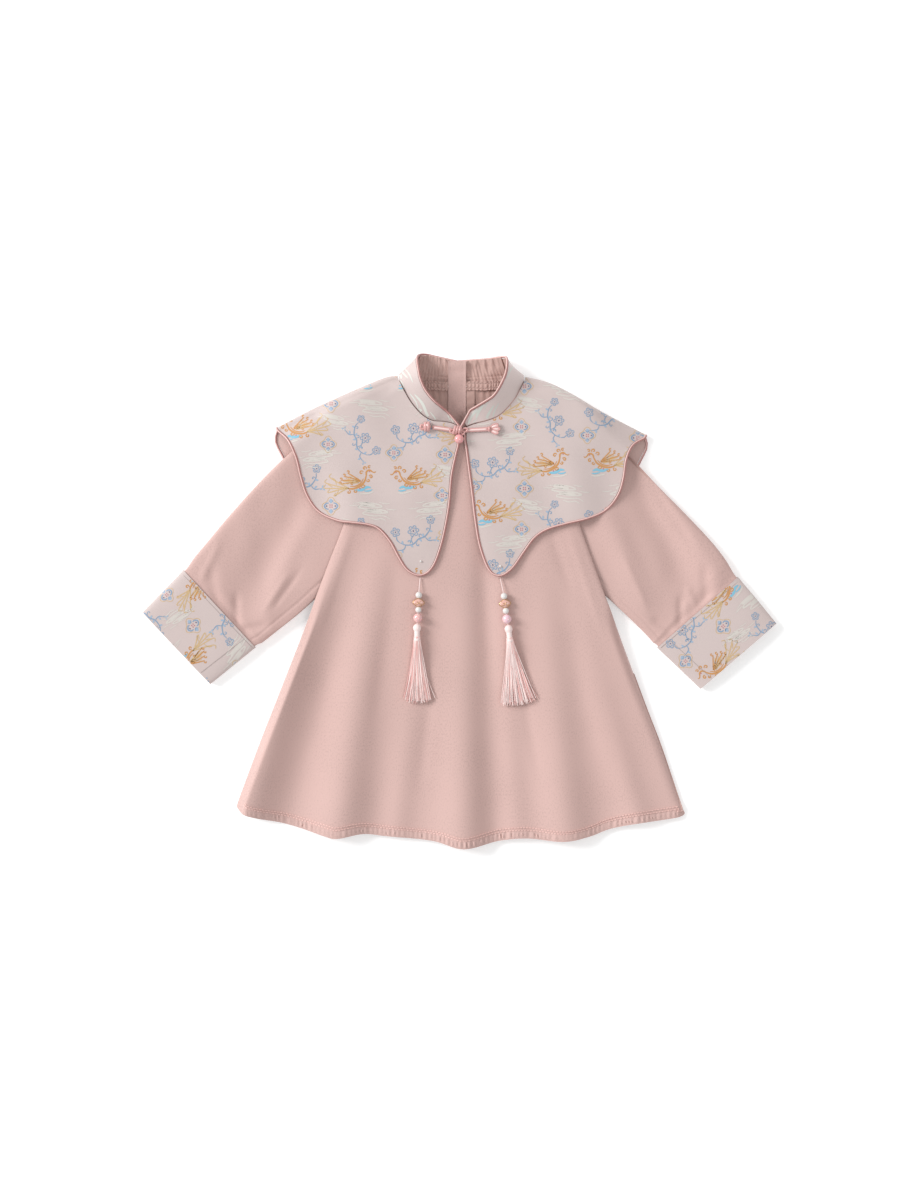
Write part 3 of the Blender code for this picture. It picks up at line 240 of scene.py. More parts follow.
CAPE_RIGHT = CapeHalf(
    side=1,
    neck=rows_of(Spot, (8, 180.8), (16, 183.8), (28.5, 186.4), (40, 190.6), (48.6, 197.4),
                 (59.6, 210.6), (67, 224.5), (68.4, 233.5)),
    centre_edge=rows_of(Spot, (8, 180.8), (7.2, 169.5), (9, 158), (12, 135), (15, 112),
                        (17.8, 87), (22, 61), (29, 39.5), (35, 30), (40, 27.5)),
    lobes=rows_of(Spot, (40, 27.5), (45, 29), (54, 36.5), (65.5, 53), (76, 67),
                  (89, 75.5), (109, 81.5), (131.5, 87), (150, 95.5), (162.5, 111),
                  (168, 128), (171, 148), (178, 163), (188, 173.5)),
    shoulder=rows_of(Spot, (68.4, 233.5), (92, 227.5), (117.5, 215), (146, 198),
                     (192.5, 174)),
    back_edge=rows_of(Spot, (192.5, 174), (194.5, 164), (189, 152), (182, 138),
                      (174, 116), (158, 97), (132, 86), (100, 81), (74, 69),
                      (50, 55), (20, 50), (-2.2, 50)),
    back_neck=rows_of(Spot, (68.4, 233.5), (60, 226), (44, 224), (20, 223.6), (-2.2, 223.4)),
    back_centre=rows_of(Spot, (-2.2, 223.4), (-2.2, 130), (-2.2, 50)),
)
CAPE_FOLD_DEPTH = 6.5
CAPE_FOLD_THINNING = 3.0
CAPE_CORNER_HEIGHT = 5.0
CAPE_NECK_DROP = 3.4
NECK_SEAM_CLOSING = 0.75
CAPE_SOFTNESS = 1.5

# The stand collar from centre front round to centre back: its seam and its rim
CollarRow = namedtuple("CollarRow", "seam_x seam_y seam_z rim_x rim_y rim_z")
COLLAR_LEFT = rows_of(
    CollarRow,
    (-1.8, 182.6, 17.6, -1.6, 186.0, 19.0),
    (-8.5, 185.4, 17.4, -8.5, 190.4, 20.5),
    (-17.6, 186.8, 17.2, -14.5, 195.6, 23.0),
    (-28.4, 188.0, 17.0, -21.0, 200.6, 26.0),
    (-38.8, 194.2, 17.0, -28.5, 207.0, 28.5),
    (-48.8, 205.2, 16.8, -36.5, 217.0, 30.0),
    (-56.6, 217.8, 15.6, -41.8, 228.8, 30.5),
    (-61.6, 228.6, 13.2, -44.3, 241.0, 28.0),
    (-62.4, 236.6, 8.6, -45.4, 251.0, 19.5),
    (-57.4, 231.2, 3.0, -43.0, 254.6, 9.5),
    (-44.0, 226.0, 0.4, -35.0, 255.0, 2.8),
    (-26.0, 224.6, 0.0, -22.0, 252.2, 0.5),
    (-2.8, 224.2, 0.0, -2.8, 248.0, 0.3),
)
COLLAR_RIGHT = rows_of(
    CollarRow,
    (7.2, 181.8, 17.6, 5.2, 186.0, 19.0),
    (16.0, 185.0, 17.4, 11.0, 195.2, 21.0),
    (28.0, 187.9, 17.2, 17.5, 199.4, 24.0),
    (38.8, 192.2, 17.0, 28.5, 205.8, 27.0),
    (47.2, 199.0, 17.0, 36.4, 211.4, 29.0),
    (57.8, 211.8, 16.6, 43.0, 221.2, 30.2),
    (65.0, 225.4, 14.2, 48.6, 233.4, 30.0),
    (66.6, 235.2, 8.8, 50.6, 245.0, 25.0),
    (61.8, 231.0, 3.2, 49.6, 251.8, 13.0),
    (49.0, 226.2, 0.5, 43.0, 252.4, 4.0),
    (30.0, 224.7, 0.0, 28.0, 250.2, 0.6),
    (-2.2, 224.2, 0.0, -2.2, 248.0, 0.3),
)
FACING_START = 16 / 22
FACING_TUCK = 0.05
NECK_MEET_X = 0.6

# The frog fastening at the neck
FROG_LIFT = 0.4
Knot = namedtuple("Knot", "x y long wide high")
FROG_END_KNOT = Knot(-34.3, 180.8, 10.4, 9.0, 5.0)
FROG_CENTRE_KNOT = Knot(-1.6, 177.4, 12.4, 7.8, 6.0)
FROG_BALL = Knot(-0.5, 168.1, 9.8, 9.8, 9.2)
FROG_BALL_SINK = 0.9
FROG_CORD_RADIUS = 1.25
FROG_BAR_LEFT = rows_of(Spot, (-28.2, 180.0), (-21, 179.2), (-14, 178.2), (-8.4, 177.6))
FROG_BAR_RIGHT = rows_of(Spot, (5.4, 176.8), (12, 177.4), (20, 177.8), (30.2, 178.4))
FROG_FAN_HUB = Spot(33.8, 178.6)

# The two pendants, from the flap's tip down the skirt
Bead = namedtuple("Bead", "name x y diameter height thickness lift")
Pendant = namedtuple("Pendant", "side start_x start_y beads head_x head_y end_x end_y spread")
PENDANT_LEFT = Pendant(
    side="left", start_x=-40.8, start_y=24.4,
    beads=(Bead("pearl_upper", -42.1, 6.9, 7.0, 7.0, 7.0, 4.1),
           Bead("cloud_bead", -42.3, -0.8, 11.6, 7.6, 5.4, 4.1),
           Bead("pearl_lower", -42.5, -8.3, 6.6, 6.6, 6.6, 4.3),
           Bead("round_bead", -43.1, -16.8, 9.6, 9.6, 9.6, 5.4)),
    head_x=-44.0, head_y=-27.0, end_x=-43.6, end_y=-105.8, spread=32.0)
PENDANT_RIGHT = Pendant(
    side="right", start_x=42.2, start_y=24.0,
    beads=(Bead("pearl_upper", 45.9, 5.8, 7.0, 7.0, 7.0, 4.1),
           Bead("cloud_bead", 46.9, -1.9, 11.6, 7.6, 5.4, 4.1),
           Bead("pearl_lower", 47.8, -9.4, 6.6, 6.6, 6.6, 4.3),
           Bead("round_bead", 48.9, -17.9, 9.6, 9.6, 9.6, 5.4)),
    head_x=50.6, head_y=-28.2, end_x=60.4, end_y=-108.0, spread=40.0)
THREAD_RADIUS = 0.5
FLAP_PEARLS = rows_of(Spot, (-40.2, 41.9), (42.1, 36.8))
THREAD_START_LIFT = 1.6
THREAD_IN_TASSEL = 27.0
TASSEL_HEAD_LIFT = 4.8
# A tassel's head from its knot down to its binding: distance along it and radius
TASSEL_PROFILE = (
    (-4.2, 0.9), (-3.9, 1.9), (-3.0, 3.0), (-1.6, 3.9), (0.0, 4.2), (1.6, 3.9), (3.0, 3.2), (4.2, 2.7),
    (4.8, 3.0), (5.6, 3.0), (6.2, 2.7), (6.8, 3.0), (7.6, 3.0), (8.2, 2.7), (9.6, 3.1), (12.0, 3.4),
    (13.5, 3.3), (14.0, 2.4),
)
TASSEL_HEAD_SIDES = 24
TASSEL_THROAT = 9.0
TASSEL_BUNDLE = 3.1
STRAND_RADIUS = 0.40
STRAND_POINTS = 9
TUFTS = 29
GOLDEN_TURN = 2.39996
# How far a tassel's stray strands bend aside
STRAYS = (-7.0, 5.5, 8.0, -4.5, 6.5)


def smooth(start, end, value):
    """Run softly from 0 at start to 1 at end."""
    part = np.clip((np.asarray(value, float) - start) / (end - start), 0.0, 1.0)
    return part * part * (3.0 - 2.0 * part)


def along(points, parts):
    """Places on a smooth curve through the points, at parts of its length."""
    knots = np.array([tuple(point) for point in points], float)
    ends = np.vstack([2 * knots[0] - knots[1], knots, 2 * knots[-1] - knots[-2]])
    fine = []
    for index in range(len(knots) - 1):
        before, first, second, after = ends[index:index + 4]
        for step in np.linspace(0.0, 1.0, 12, endpoint=False):
            fine.append(0.5 * (2 * first + (second - before) * step
                               + (2 * before - 5 * first + 4 * second - after) * step ** 2
                               + (3 * first - before - 3 * second + after) * step ** 3))
    fine.append(knots[-1])
    fine = np.array(fine)
    lengths = np.concatenate([[0.0], np.cumsum(np.linalg.norm(np.diff(fine, axis=0), axis=1))])
    wanted = np.asarray(parts, float) * lengths[-1]
    return np.stack([np.interp(wanted, lengths, fine[:, axis]) for axis in range(fine.shape[1])], axis=-1)


def patch(near, far, first, last, down, across):
    """Fill four edges: near and far run across, first and last run down."""
    upper = along(near, across)[None, :, :]
    lower = along(far, across)[None, :, :]
    start = along(first, down)[:, None, :]
    end = along(last, down)[:, None, :]
    v = np.asarray(down, float)[:, None, None]
    u = np.asarray(across, float)[None, :, None]
    corners = ((1 - v) * ((1 - u) * upper[:, :1] + u * upper[:, -1:])
               + v * ((1 - u) * lower[:, :1] + u * lower[:, -1:]))
    return (1 - v) * upper + v * lower + (1 - u) * start + u * end - corners


def outside(outline, x, y):
    """Distance from a closed outline to each place beyond it, and 0 within it."""
    corners = np.array([tuple(point) for point in outline], float)
    following = np.roll(corners, -1, axis=0)
    shape = np.shape(x)
    places = np.stack([np.ravel(x), np.ravel(y)], axis=-1)
    result = np.full(len(places), 1e9)
    within = np.zeros(len(places), bool)
    for corner, after in zip(corners, following):
        run = after - corner
        offset = places - corner
        part = np.clip(offset @ run / max(run @ run, 1e-9), 0.0, 1.0)
        result = np.minimum(result, np.linalg.norm(offset - part[:, None] * run, axis=1))
        spans = (corner[1] > places[:, 1]) != (after[1] > places[:, 1])
        rise = run[1] if run[1] else 1e-9
        within ^= spans & (places[:, 0] < corner[0] + (places[:, 1] - corner[1]) * run[0] / rise)
    return np.where(within, 0.0, result).reshape(shape)


def side_at(y, name):
    """The body's left or right edge at a height up the dress."""
    ups = [row.up for row in reversed(BODY_SIDES)]
    values = [getattr(row, name) for row in reversed(BODY_SIDES)]
    return np.interp(y, ups, values)


BODY_OUTLINE = ([Spot(row.left, row.up) for row in BODY_SIDES] + list(HEM_EDGE[1:-1])
                + [Spot(row.right, row.up) for row in reversed(BODY_SIDES)]
                + [Spot(75, 221), Spot(-70, 222)])


def sleeve_outline(rows):
    """A sleeve's outline as it lies."""
    return [Spot(row.upper_x, row.upper_y) for row in rows] + [
        Spot(row.lower_x, row.lower_y) for row in reversed(rows)]


def cape_back_outline(half):
    """The outline of the part of a cape half that lies under the dress."""
    return list(half.back_neck) + [half.back_centre[-1]] + list(reversed(half.back_edge))


def back_rest(x, y):
    """How high the dress's back lies over the cape's back."""
    rise = 0.0
    for half in (CAPE_LEFT, CAPE_RIGHT):
        rise = np.maximum(rise, 1.0 - smooth(34, 80, outside(cape_back_outline(half), x, y)))
    return BACK_REST * rise


def plateau(x, y):
    """The front's height, with its folds and without its rounded edges."""
    height = CHEST_HEIGHT + (WAIST_HEIGHT - CHEST_HEIGHT) * smooth(CHEST_UP, WAIST_UP, y)
    height = height + (HEM_HEIGHT - WAIST_HEIGHT) * smooth(SKIRT_UP, HEM_UP, y)
    for fold in SKIRT_FOLDS:
        part = np.clip((fold.top_y - y) / (fold.top_y - fold.hem_y), 0.0, 1.1)
        centre = fold.top_x + (fold.hem_x - fold.top_x) * part
        width = fold.half_width * (0.6 + 0.4 * part)
        height = height + fold.height * part ** 1.25 * np.exp(-((x - centre) / width) ** 2)
    return height


def rounded(distance, radius):
    """A quarter-round rise from 0 at an edge to 1 at a radius inside it."""
    part = np.clip(distance / radius, 0.0, 1.0)
    return np.sqrt(np.clip(1.0 - (1.0 - part) ** 2, 0.0, 1.0))


def seam_line(seam, x):
    """How far up a seam lies at a place across the dress."""
    return np.interp(x, [spot.x for spot in seam], [spot.y for spot in seam])


def front_height(x, y):
    """The front's upper face, which comes down at its side seams and shoulders."""
    flat = plateau(x, y)
    seam = BACK_REST + WALL + SEAM_GAP
    over_sleeve = SLEEVE_ROOT_CROWN + SLEEVE_GAP
    low = WALL + SEAM_GAP + (over_sleeve - WALL - SEAM_GAP) * smooth(-44, 0, y)
    to_side = np.minimum(x - side_at(y, "left"), side_at(y, "right") - x)
    drop_side = (flat - low) * (1.0 - rounded(to_side, SIDE_ROLL))
    to_shoulder = np.where(x < 0, seam_line(SHOULDER_SEAM_LEFT, x), seam_line(SHOULDER_SEAM_RIGHT, x)) - y
    to_shoulder = np.where((x > NECK_LEFT_X) & (x < NECK_RIGHT_X), SHOULDER_ROLL, to_shoulder)
    drop_shoulder = (flat - seam) * (1.0 - rounded(to_shoulder, SHOULDER_ROLL))
    return np.maximum(flat - drop_side - drop_shoulder, np.minimum(low, seam))


def flap_height(x, y):
    """The cape's upper face where it lies over the body and the sleeves."""
    lift = LAYER_GAP + WALL
    to_side = np.minimum(x - side_at(y, "left"), side_at(y, "right") - x)
    over = SLEEVE_ROOT_CROWN + (plateau(x, y) - SLEEVE_ROOT_CROWN) * smooth(-34, 11, to_side) + lift
    off_body = smooth(1, 30, outside(BODY_OUTLINE, x, y))
    off_sleeve = smooth(0, 30, np.minimum(outside(sleeve_outline(SLEEVE_LEFT), x, y),
                                          outside(sleeve_outline(SLEEVE_RIGHT), x, y)))
    soft = CAPE_SOFTNESS * (1.0 + ripples(x, y, 5, 88.0)) * smooth(0, 22, to_side + 60)
    return CAPE_CORNER_HEIGHT + (over + soft - CAPE_CORNER_HEIGHT) * (1.0 - off_body * off_sleeve)


def grid_normals(points):
    """Unit normals of a grid of places, one for each."""
    normal = np.cross(np.gradient(points, axis=0), np.gradient(points, axis=1))
    length = np.linalg.norm(normal, axis=-1, keepdims=True)
    return normal / np.where(length == 0, 1.0, length)


def ripples(u, v, seed, size):
    """Soft uneven waves from a few sines, between about -1 and 1."""
    chance = random.Random(seed)
    total = 0.0
    for step in range(6):
        heading = chance.uniform(0, 2 * math.pi)
        pitch = size * chance.uniform(0.6, 1.9)
        phase = chance.uniform(0, 2 * math.pi)
        total = total + np.sin((u * math.cos(heading) + v * math.sin(heading)) * 2 * math.pi / pitch + phase)
    return total / 3.0


def finish_object(name, mesh, materials):
    """Link a mesh as a piece of the dress that rides with it."""
    for material in materials:
        mesh.materials.append(material)
    mesh.shade_smooth()
    mesh.set_sharp_from_angle(angle=math.radians(60))
    piece = bpy.data.objects.new(name, mesh)
    bpy.context.collection.objects.link(piece)
    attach(piece, "root")
    return piece


def in_metres(places):
    """Places in the tables, in metres from the middle of the laid dress."""
    return (np.asarray(places, float).reshape(-1, 3) - LAY_MIDDLE) * MM


def grid_faces(rows, columns, closed=False):
    """The four-sided faces of a grid, which face up where rows run down and columns across."""
    index = np.arange(rows * columns).reshape(rows, columns)
    if closed:
        index = np.concatenate([index, index[:, :1]], axis=1)
    return np.stack([index[:-1, :-1], index[1:, :-1], index[1:, 1:], index[:-1, 1:]], axis=-1).reshape(-1, 4)


def capped_faces(rings, sides):
    """The faces round a stack of rings, with a face over each end."""
    faces = grid_faces(rings, sides, closed=True).tolist()
    faces.append(list(range(sides)))
    faces.append(list(range((rings - 1) * sides, rings * sides))[::-1])
    return faces


def outward_mesh(name, places, faces, slots):
    """A mesh from places in millimetres, whose faces all look outward."""
    mesh = bpy.data.meshes.new(name)
    mesh.from_pydata(in_metres(places).tolist(), [], faces)
    mesh.polygons.foreach_set("material_index", np.array(slots, dtype=np.int32))
    shape = bmesh.new()
    shape.from_mesh(mesh)
    bmesh.ops.recalc_face_normals(shape, faces=shape.faces)
    shape.to_mesh(mesh)
    shape.free()
    return mesh


def turned_in_plan(places, turn):
    """The X and Y of places, turned about the middle by an angle."""
    x, y = places[..., 0], places[..., 1]
    return x * math.cos(turn) - y * math.sin(turn), x * math.sin(turn) + y * math.cos(turn)


def surface_tree(mesh):
    """A mesh's faces, ready for rays."""
    return BVHTree.FromPolygons([vertex.co for vertex in mesh.vertices],
                                [tuple(polygon.vertices) for polygon in mesh.polygons])


def cloth(name, face, inner, plan, materials, closed=False):
    """A thin shell of cloth between two grids; the second material is its inner side.

    Its UV map is the cloth's own flat plan in metres.
    """
    rows, columns = face.shape[:2]
    second = rows * columns
    outer_faces = grid_faces(rows, columns, closed)
    inner_faces = outer_faces[:, ::-1] + second
    index = np.arange(second).reshape(rows, columns)
    if closed:
        index = np.concatenate([index, index[:, :1]], axis=1)
    loops = [index[0], index[-1][::-1]]
    if not closed:
        loops += [index[::-1, 0], index[:, -1]]
    rims = [np.stack([loop[:-1], loop[1:], loop[1:] + second, loop[:-1] + second], axis=-1) for loop in loops]
    faces = np.concatenate([outer_faces, inner_faces] + rims)
    slots = np.zeros(len(faces), dtype=np.int32)
    slots[len(outer_faces):2 * len(outer_faces)] = len(materials) - 1
    places = np.concatenate([face.reshape(-1, 3), inner.reshape(-1, 3)])
    mesh = outward_mesh(name, places, faces.tolist(), slots)
    plan = np.concatenate([plan.reshape(-1, 2)] * 2) * MM
    corner = np.zeros(len(mesh.loops), dtype=np.int32)
    mesh.loops.foreach_get("vertex_index", corner)
    mesh.uv_layers.new(name="cloth").data.foreach_set("uv", plan[corner].ravel())
    return finish_object(name, mesh, materials)


def tube_parts(path, radius, sides, ends=1.0):
    """Places and faces of a round piece along a path; radius may be a list."""
    path = np.asarray(path, float)
    count = len(path)
    radii = np.broadcast_to(radius, (count,)).copy()
    radii[0] *= ends
    radii[-1] *= ends
    heading = np.gradient(path, axis=0)
    heading /= np.maximum(np.linalg.norm(heading, axis=1, keepdims=True), 1e-9)
    side = np.cross(heading[0], (0.0, 0.0, 1.0))
    if np.linalg.norm(side) < 0.1:
        side = np.array((1.0, 0.0, 0.0))
    turn = 2 * math.pi * (np.arange(sides) + 0.5) / sides
    places = []
    for index in range(count):
        side = side - heading[index] * np.dot(side, heading[index])
        side /= np.linalg.norm(side)
        lift = np.cross(side, heading[index])
        ring = side[None] * np.cos(turn)[:, None] + lift[None] * np.sin(turn)[:, None]
        places.append(path[index] + ring * radii[index])
    return np.concatenate(places), capped_faces(count, sides)


def joined(name, parts, materials):
    """One piece from many parts, each of places, faces and a material's place."""
    places = []
    faces = []
    slots = []
    first = 0
    for part_places, part_faces, slot in parts:
        places.append(part_places)
        faces.extend([[corner + first for corner in face] for face in part_faces])
        slots.extend([slot] * len(part_faces))
        first += len(part_places)
    return finish_object(name, outward_mesh(name, np.concatenate(places), faces, slots), materials)


# The finishes

def new_finish(name, colour, roughness, **sockets):
    """A material with its shader's plain sockets set."""
    material = bpy.data.materials.new(name)
    material.use_nodes = True
    shader = material.node_tree.nodes["Principled BSDF"]
    shader.inputs["Base Color"].default_value = (*colour, 1.0)
    shader.inputs["Roughness"].default_value = roughness
    for socket, value in sockets.items():
        shader.inputs[socket.replace("_", " ")].default_value = value
    return material


def add_node(material, kind, links=(), **values):
    """A texture or maths node, its values set and its inputs linked."""
    made = material.node_tree.nodes.new(kind)
    for key, value in values.items():
        socket = made.inputs.get(key.replace("_", " "))
        if socket is not None and key[0].isupper():
            socket.default_value = value
        else:
            setattr(made, key, value)
    for socket, source in links:
        material.node_tree.links.new(source, made.inputs[socket])
    return made


def shade_cloth(material, colour, grain, stretch, depth, mottle=0.05, weft=0.0, broad=0.3):
    """Grain, weft lines and soft mottling in the cloth's own plan."""
    tree = material.node_tree
    shader = tree.nodes["Principled BSDF"]
    plan = add_node(material, "ShaderNodeTexCoord").outputs["UV"]
    laid = add_node(material, "ShaderNodeMapping", [("Vector", plan)], Scale=(1.0, stretch, 1.0)).outputs[0]
    threads = add_node(material, "ShaderNodeTexNoise", [("Vector", laid)], Scale=grain, Detail=2.0,
                       Roughness=0.7).outputs[0]
    clouds = add_node(material, "ShaderNodeTexNoise", [("Vector", plan)], Scale=16.0, Detail=1.0).outputs[0]
    soft = add_node(material, "ShaderNodeMath", [(0, clouds)], operation="MULTIPLY_ADD")
    soft.inputs[1].default_value = broad
    soft.inputs[2].default_value = 0.5 - broad / 2
    total = add_node(material, "ShaderNodeMath", [(0, threads), (1, soft.outputs[0])],
                     operation="ADD").outputs[0]
    if weft:
        lines = add_node(material, "ShaderNodeTexWave", [("Vector", plan)], bands_direction="Y",
                         Scale=weft, Distortion=1.2, Detail=2.0).outputs[1]
        half = add_node(material, "ShaderNodeMath", [(0, lines)], operation="MULTIPLY")
        half.inputs[1].default_value = 0.5
        total = add_node(material, "ShaderNodeMath", [(0, total), (1, half.outputs[0])],
                         operation="ADD").outputs[0]
    ramp = add_node(material, "ShaderNodeValToRGB", [(0, total)])
    dark = [channel * (1.0 - mottle * 1.15) for channel in colour]
    light = [min(1.0, channel * (1.0 + mottle * 1.15)) for channel in colour]
    ramp.color_ramp.elements[0].position = 0.7 if not weft else 0.9
    ramp.color_ramp.elements[1].position = 1.25 if not weft else 1.5
    ramp.color_ramp.elements[0].color = (*dark, 1.0)
    ramp.color_ramp.elements[1].color = (*light, 1.0)
    tree.links.new(ramp.outputs[0], shader.inputs["Base Color"])
    bump = add_node(material, "ShaderNodeBump", [("Height", total)], Strength=1.0, Distance=depth)
    tree.links.new(bump.outputs[0], shader.inputs["Normal"])
    return material


# The size and area to which each cloth is cut, in metres, how it lies and what it lies on
Cut = namedtuple("Cut", "width length area held rests_on")


Look = namedtuple("Look", "colour share roughness sockets cloth")


def look(colour, roughness, share=1.0, cloth=None, **sockets):
    """How a finish looks: one of the dress's colours or a plain one, times a share."""
    return Look(colour, share, roughness, sockets, cloth)


SATIN_THREADS = dict(grain=1300.0, stretch=3.0, depth=0.00010, mottle=0.065, weft=260.0, broad=0.9)
GLASSY = dict(Subsurface_Weight=0.15, Subsurface_Scale=0.002)
LOOKS = {
    "rose_cloth": look("rose", 0.72, cloth=dict(grain=820.0, stretch=0.6, depth=0.0002, mottle=0.115),
                       Sheen_Weight=0.35, Sheen_Roughness=0.4),
    "rose_inside": look("inside", 0.7, cloth=dict(grain=1000.0, stretch=0.6, depth=0.00016, mottle=0.06),
                        Sheen_Weight=0.2),
    "brocade": look("brocade", 0.5, cloth=SATIN_THREADS, Sheen_Weight=0.15),
    # A lighter, glossier copy of the brocade for the right half of the collar: painted light, as that half
    # slopes away from the key light.
    "brocade_light": look("brocade", 0.45, share=1.22, cloth=SATIN_THREADS, Sheen_Weight=0.3),
    "cape_lining": look("lining", 0.5, cloth=dict(grain=1000.0, stretch=0.6, depth=0.00012, mottle=0.04),
                        Sheen_Weight=0.3),
    "piping_satin": look("piping", 0.34, Sheen_Weight=0.2),
    "piping_highlight": look("highlight", 0.34, Sheen_Weight=0.2),
    "frog_satin": look("frog", 0.26, Sheen_Weight=0.4, Coat_Weight=0.3, Coat_Roughness=0.2),
    "frog_highlight": look("frog", 0.3, share=(1.4, 2.0, 2.05), Sheen_Weight=0.3),
    "sewing_rose": look("rose", 0.5, share=0.62),
    # A darker copy of the brocade for the cuff's seam lines: the seams are real, their darkness is painted
    # shade.
    "cuff_seam": look("brocade", 0.6, share=0.66),
    "hem_thread": look("rose", 0.45, share=1.6),
    "thread_pink": look("thread", 0.5),
    "coral_bead": look("coral", 0.2, Coat_Weight=0.6, **GLASSY),
    "rose_bead": look((0.84, 0.50, 0.49), 0.15, Coat_Weight=1.0, **GLASSY),
    "lilac_bead": look("lilac", 0.2, Coat_Weight=0.6, **GLASSY),
    "pearl": look((0.77, 0.74, 0.72), 0.16, Coat_Weight=0.8, Coat_Roughness=0.06),
    "gilt": look((0.62, 0.40, 0.18), 0.3, Metallic=0.8),
    "cloud_enamel": look((0.74, 0.43, 0.36), 0.18, Coat_Weight=0.5),
    "tassel_silk": look("silk", 0.34, Sheen_Weight=0.3),
    # A darker copy of the silk for some strands: painted shade between the tassel's strands.
    "tassel_shade": look("silk", 0.4, share=(0.86, 0.62, 0.60), Sheen_Weight=0.3),
}
FINISHES = {}


def finish(name):
    """One of the dress's finishes, made the first time that it's asked for."""
    if name not in FINISHES:
        wanted = LOOKS.get(name) or look(THREAD_COLOURS[name], 0.42, Sheen_Weight=0.2)
        colour = wanted.colour
        if isinstance(colour, str):
            colour = getattr(bpy.context.scene.dress_colours, colour)[:3]
        colour = [min(1.0, float(channel)) for channel in np.array(colour, float) * wanted.share]
        made = new_finish(name, colour, wanted.roughness, **wanted.sockets)
        if wanted.cloth:
            shade_cloth(made, colour, **wanted.cloth)
        FINISHES[name] = made
    return FINISHES[name]


THREAD_COLOURS = {
    "woven_blue": (0.23, 0.33, 0.46),
    "woven_pale_blue": (0.33, 0.43, 0.55),
    "woven_gold": (0.56, 0.27, 0.09),
    "woven_straw": (0.60, 0.42, 0.22),
    "woven_sky": (0.21, 0.48, 0.62),
    "woven_white": (0.63, 0.585, 0.54),
    "woven_red": (0.50, 0.19, 0.21),
    "woven_slate": (0.12, 0.13, 0.22),
    # The pale silver is not a thread: it paints the satin's sheen in the collar's gleams.
    "woven_silver": (0.65, 0.66, 0.61),
}
WOVEN = list(THREAD_COLOURS)


def colour_setting(name, description, default):
    """A colour that a user may change."""
    return bpy.props.FloatVectorProperty(name=name, description=description, subtype="COLOR", size=3,
                                         default=default, min=0, max=1)


class DressColours(bpy.types.PropertyGroup):
    """Colours of the dress's cloths and trims."""

    rose: colour_setting("Rose cloth", "The body's and sleeves' cloth", (0.540, 0.363, 0.331))
    inside: colour_setting("Inside", "The cloth's inner side and the facing", (0.50, 0.325, 0.285))
    brocade: colour_setting("Brocade", "The ground of the cape and cuffs", (0.56, 0.465, 0.445))
    piping: colour_setting("Piping", "The satin piping", (0.45, 0.20, 0.185))
    # Piping highlight: the colour of the painted highlight that runs along the upper left of each piping.
    highlight: colour_setting("Piping highlight", "The satin's pale fold", (0.80, 0.54, 0.50))
    lining: colour_setting("Cape lining", "The cape's satin lining", (0.66, 0.46, 0.42))
    frog: colour_setting("Frog", "The frog's satin cord", (0.66, 0.35, 0.33))
    thread: colour_setting("Thread", "Sewing and pendant thread", (0.86, 0.68, 0.66))
    coral: colour_setting("Coral", "The coral beads", (0.82, 0.40, 0.40))
    lilac: colour_setting("Lilac bead", "The right pendant's round bead", (0.86, 0.58, 0.64))
    silk: colour_setting("Silk", "The tassels' silk", (0.95, 0.77, 0.74))


class DressSizes(bpy.types.PropertyGroup):
    """Sizes that a maker may change."""

    piping_radius: bpy.props.FloatProperty(name="Piping radius", description="Radius of the satin piping",
                                           subtype="DISTANCE", unit="LENGTH", default=0.00125, min=0.0005,
                                           max=0.002)
    pucker: bpy.props.FloatProperty(name="Hem pucker", description="How far the hem's puckers stand up",
                                    subtype="DISTANCE", unit="LENGTH", default=0.0006, min=0.0, max=0.001)
    strands: bpy.props.IntProperty(name="Strands", description="Strands in each tassel", default=220,
                                   min=60, max=400)


# The body

Crease = namedtuple("Crease", "x y end_x end_y half_width rise")
FRONT_CREASES = rows_of(
    Crease,
    (-112, 74, -150, -40, 5.0, 0.8),
    (112, 76, 150, -36, 5.0, 0.8),
    (92, 78, 118, 6, 6.0, -0.9),
    (24, 60, 34, -110, 9.0, -0.9),
    (-66, 40, -92, -150, 9.0, -0.8),
    (128, -60, 160, -190, 9.0, 0.7),
    (60, -60, 84, -190, 6.0, -0.7),
    (-30, -90, -42, -200, 7.0, -0.8),
)
# The front's broad folds, which run off the hem: each widens as it goes down
FRONT_FOLDS = rows_of(
    Crease,
    (-134, 84, -224, -228, 19.0, 10.5),
    (-94, 84, -180, -238, 19.0, -3.8),
    (-82, 50, -126, -246, 17.0, 0.6),
    (-62, 30, -92, -246, 15.0, -1.4),
    (22, 160, 34, -250, 15.0, -3.6),
    (98, 60, 146, -246, 18.0, -1.3),
)
HEM_STITCH_UP = 8.4
HEM_PUCKER_PITCH = 4.6
HEM_ROWS = ((HEM_STITCH_UP, 0.4), (HEM_STITCH_UP + 2.4, 0.7))
HEM_STITCH_PITCH = 3.1
HEM_THREAD_RADIUS = 0.42
# How high the hem's stitches lie on the cloth, and how much of each step a stitch takes
HEM_STITCH_LIFT = 0.6
HEM_STITCH_COVER = 0.78
FRONT_RIPPLE_RISE = 0.35
FRONT_RIPPLE_SIZE = 60.0
# How far from the middle each pendant hangs, and how wide the skirt is kept low under it
PENDANT_ASIDE = 48
PENDANT_CLEAR = 13


def crease_rise(creases, x, y, off_the_edge=False):
    """The rise of soft creases at a place."""
    rise = 0.0
    for crease in creases:
        run = np.array((crease.end_x - crease.x, crease.end_y - crease.y))
        length = np.hypot(*run)
        part = ((x - crease.x) * run[0] + (y - crease.y) * run[1]) / length ** 2
        aside = ((x - crease.x) * run[1] - (y - crease.y) * run[0]) / length
        ends = smooth(-0.15, 0.25, part)
        width = crease.half_width
        if off_the_edge:
            ends = smooth(-0.1, 0.5, part)
            width = width * (0.75 + 0.5 * np.clip(part, 0, 1))
        else:
            ends = ends * (1.0 - smooth(0.6, 1.1, part))
        rise = rise + crease.rise * ends * np.exp(-(aside / width) ** 2)
    return rise


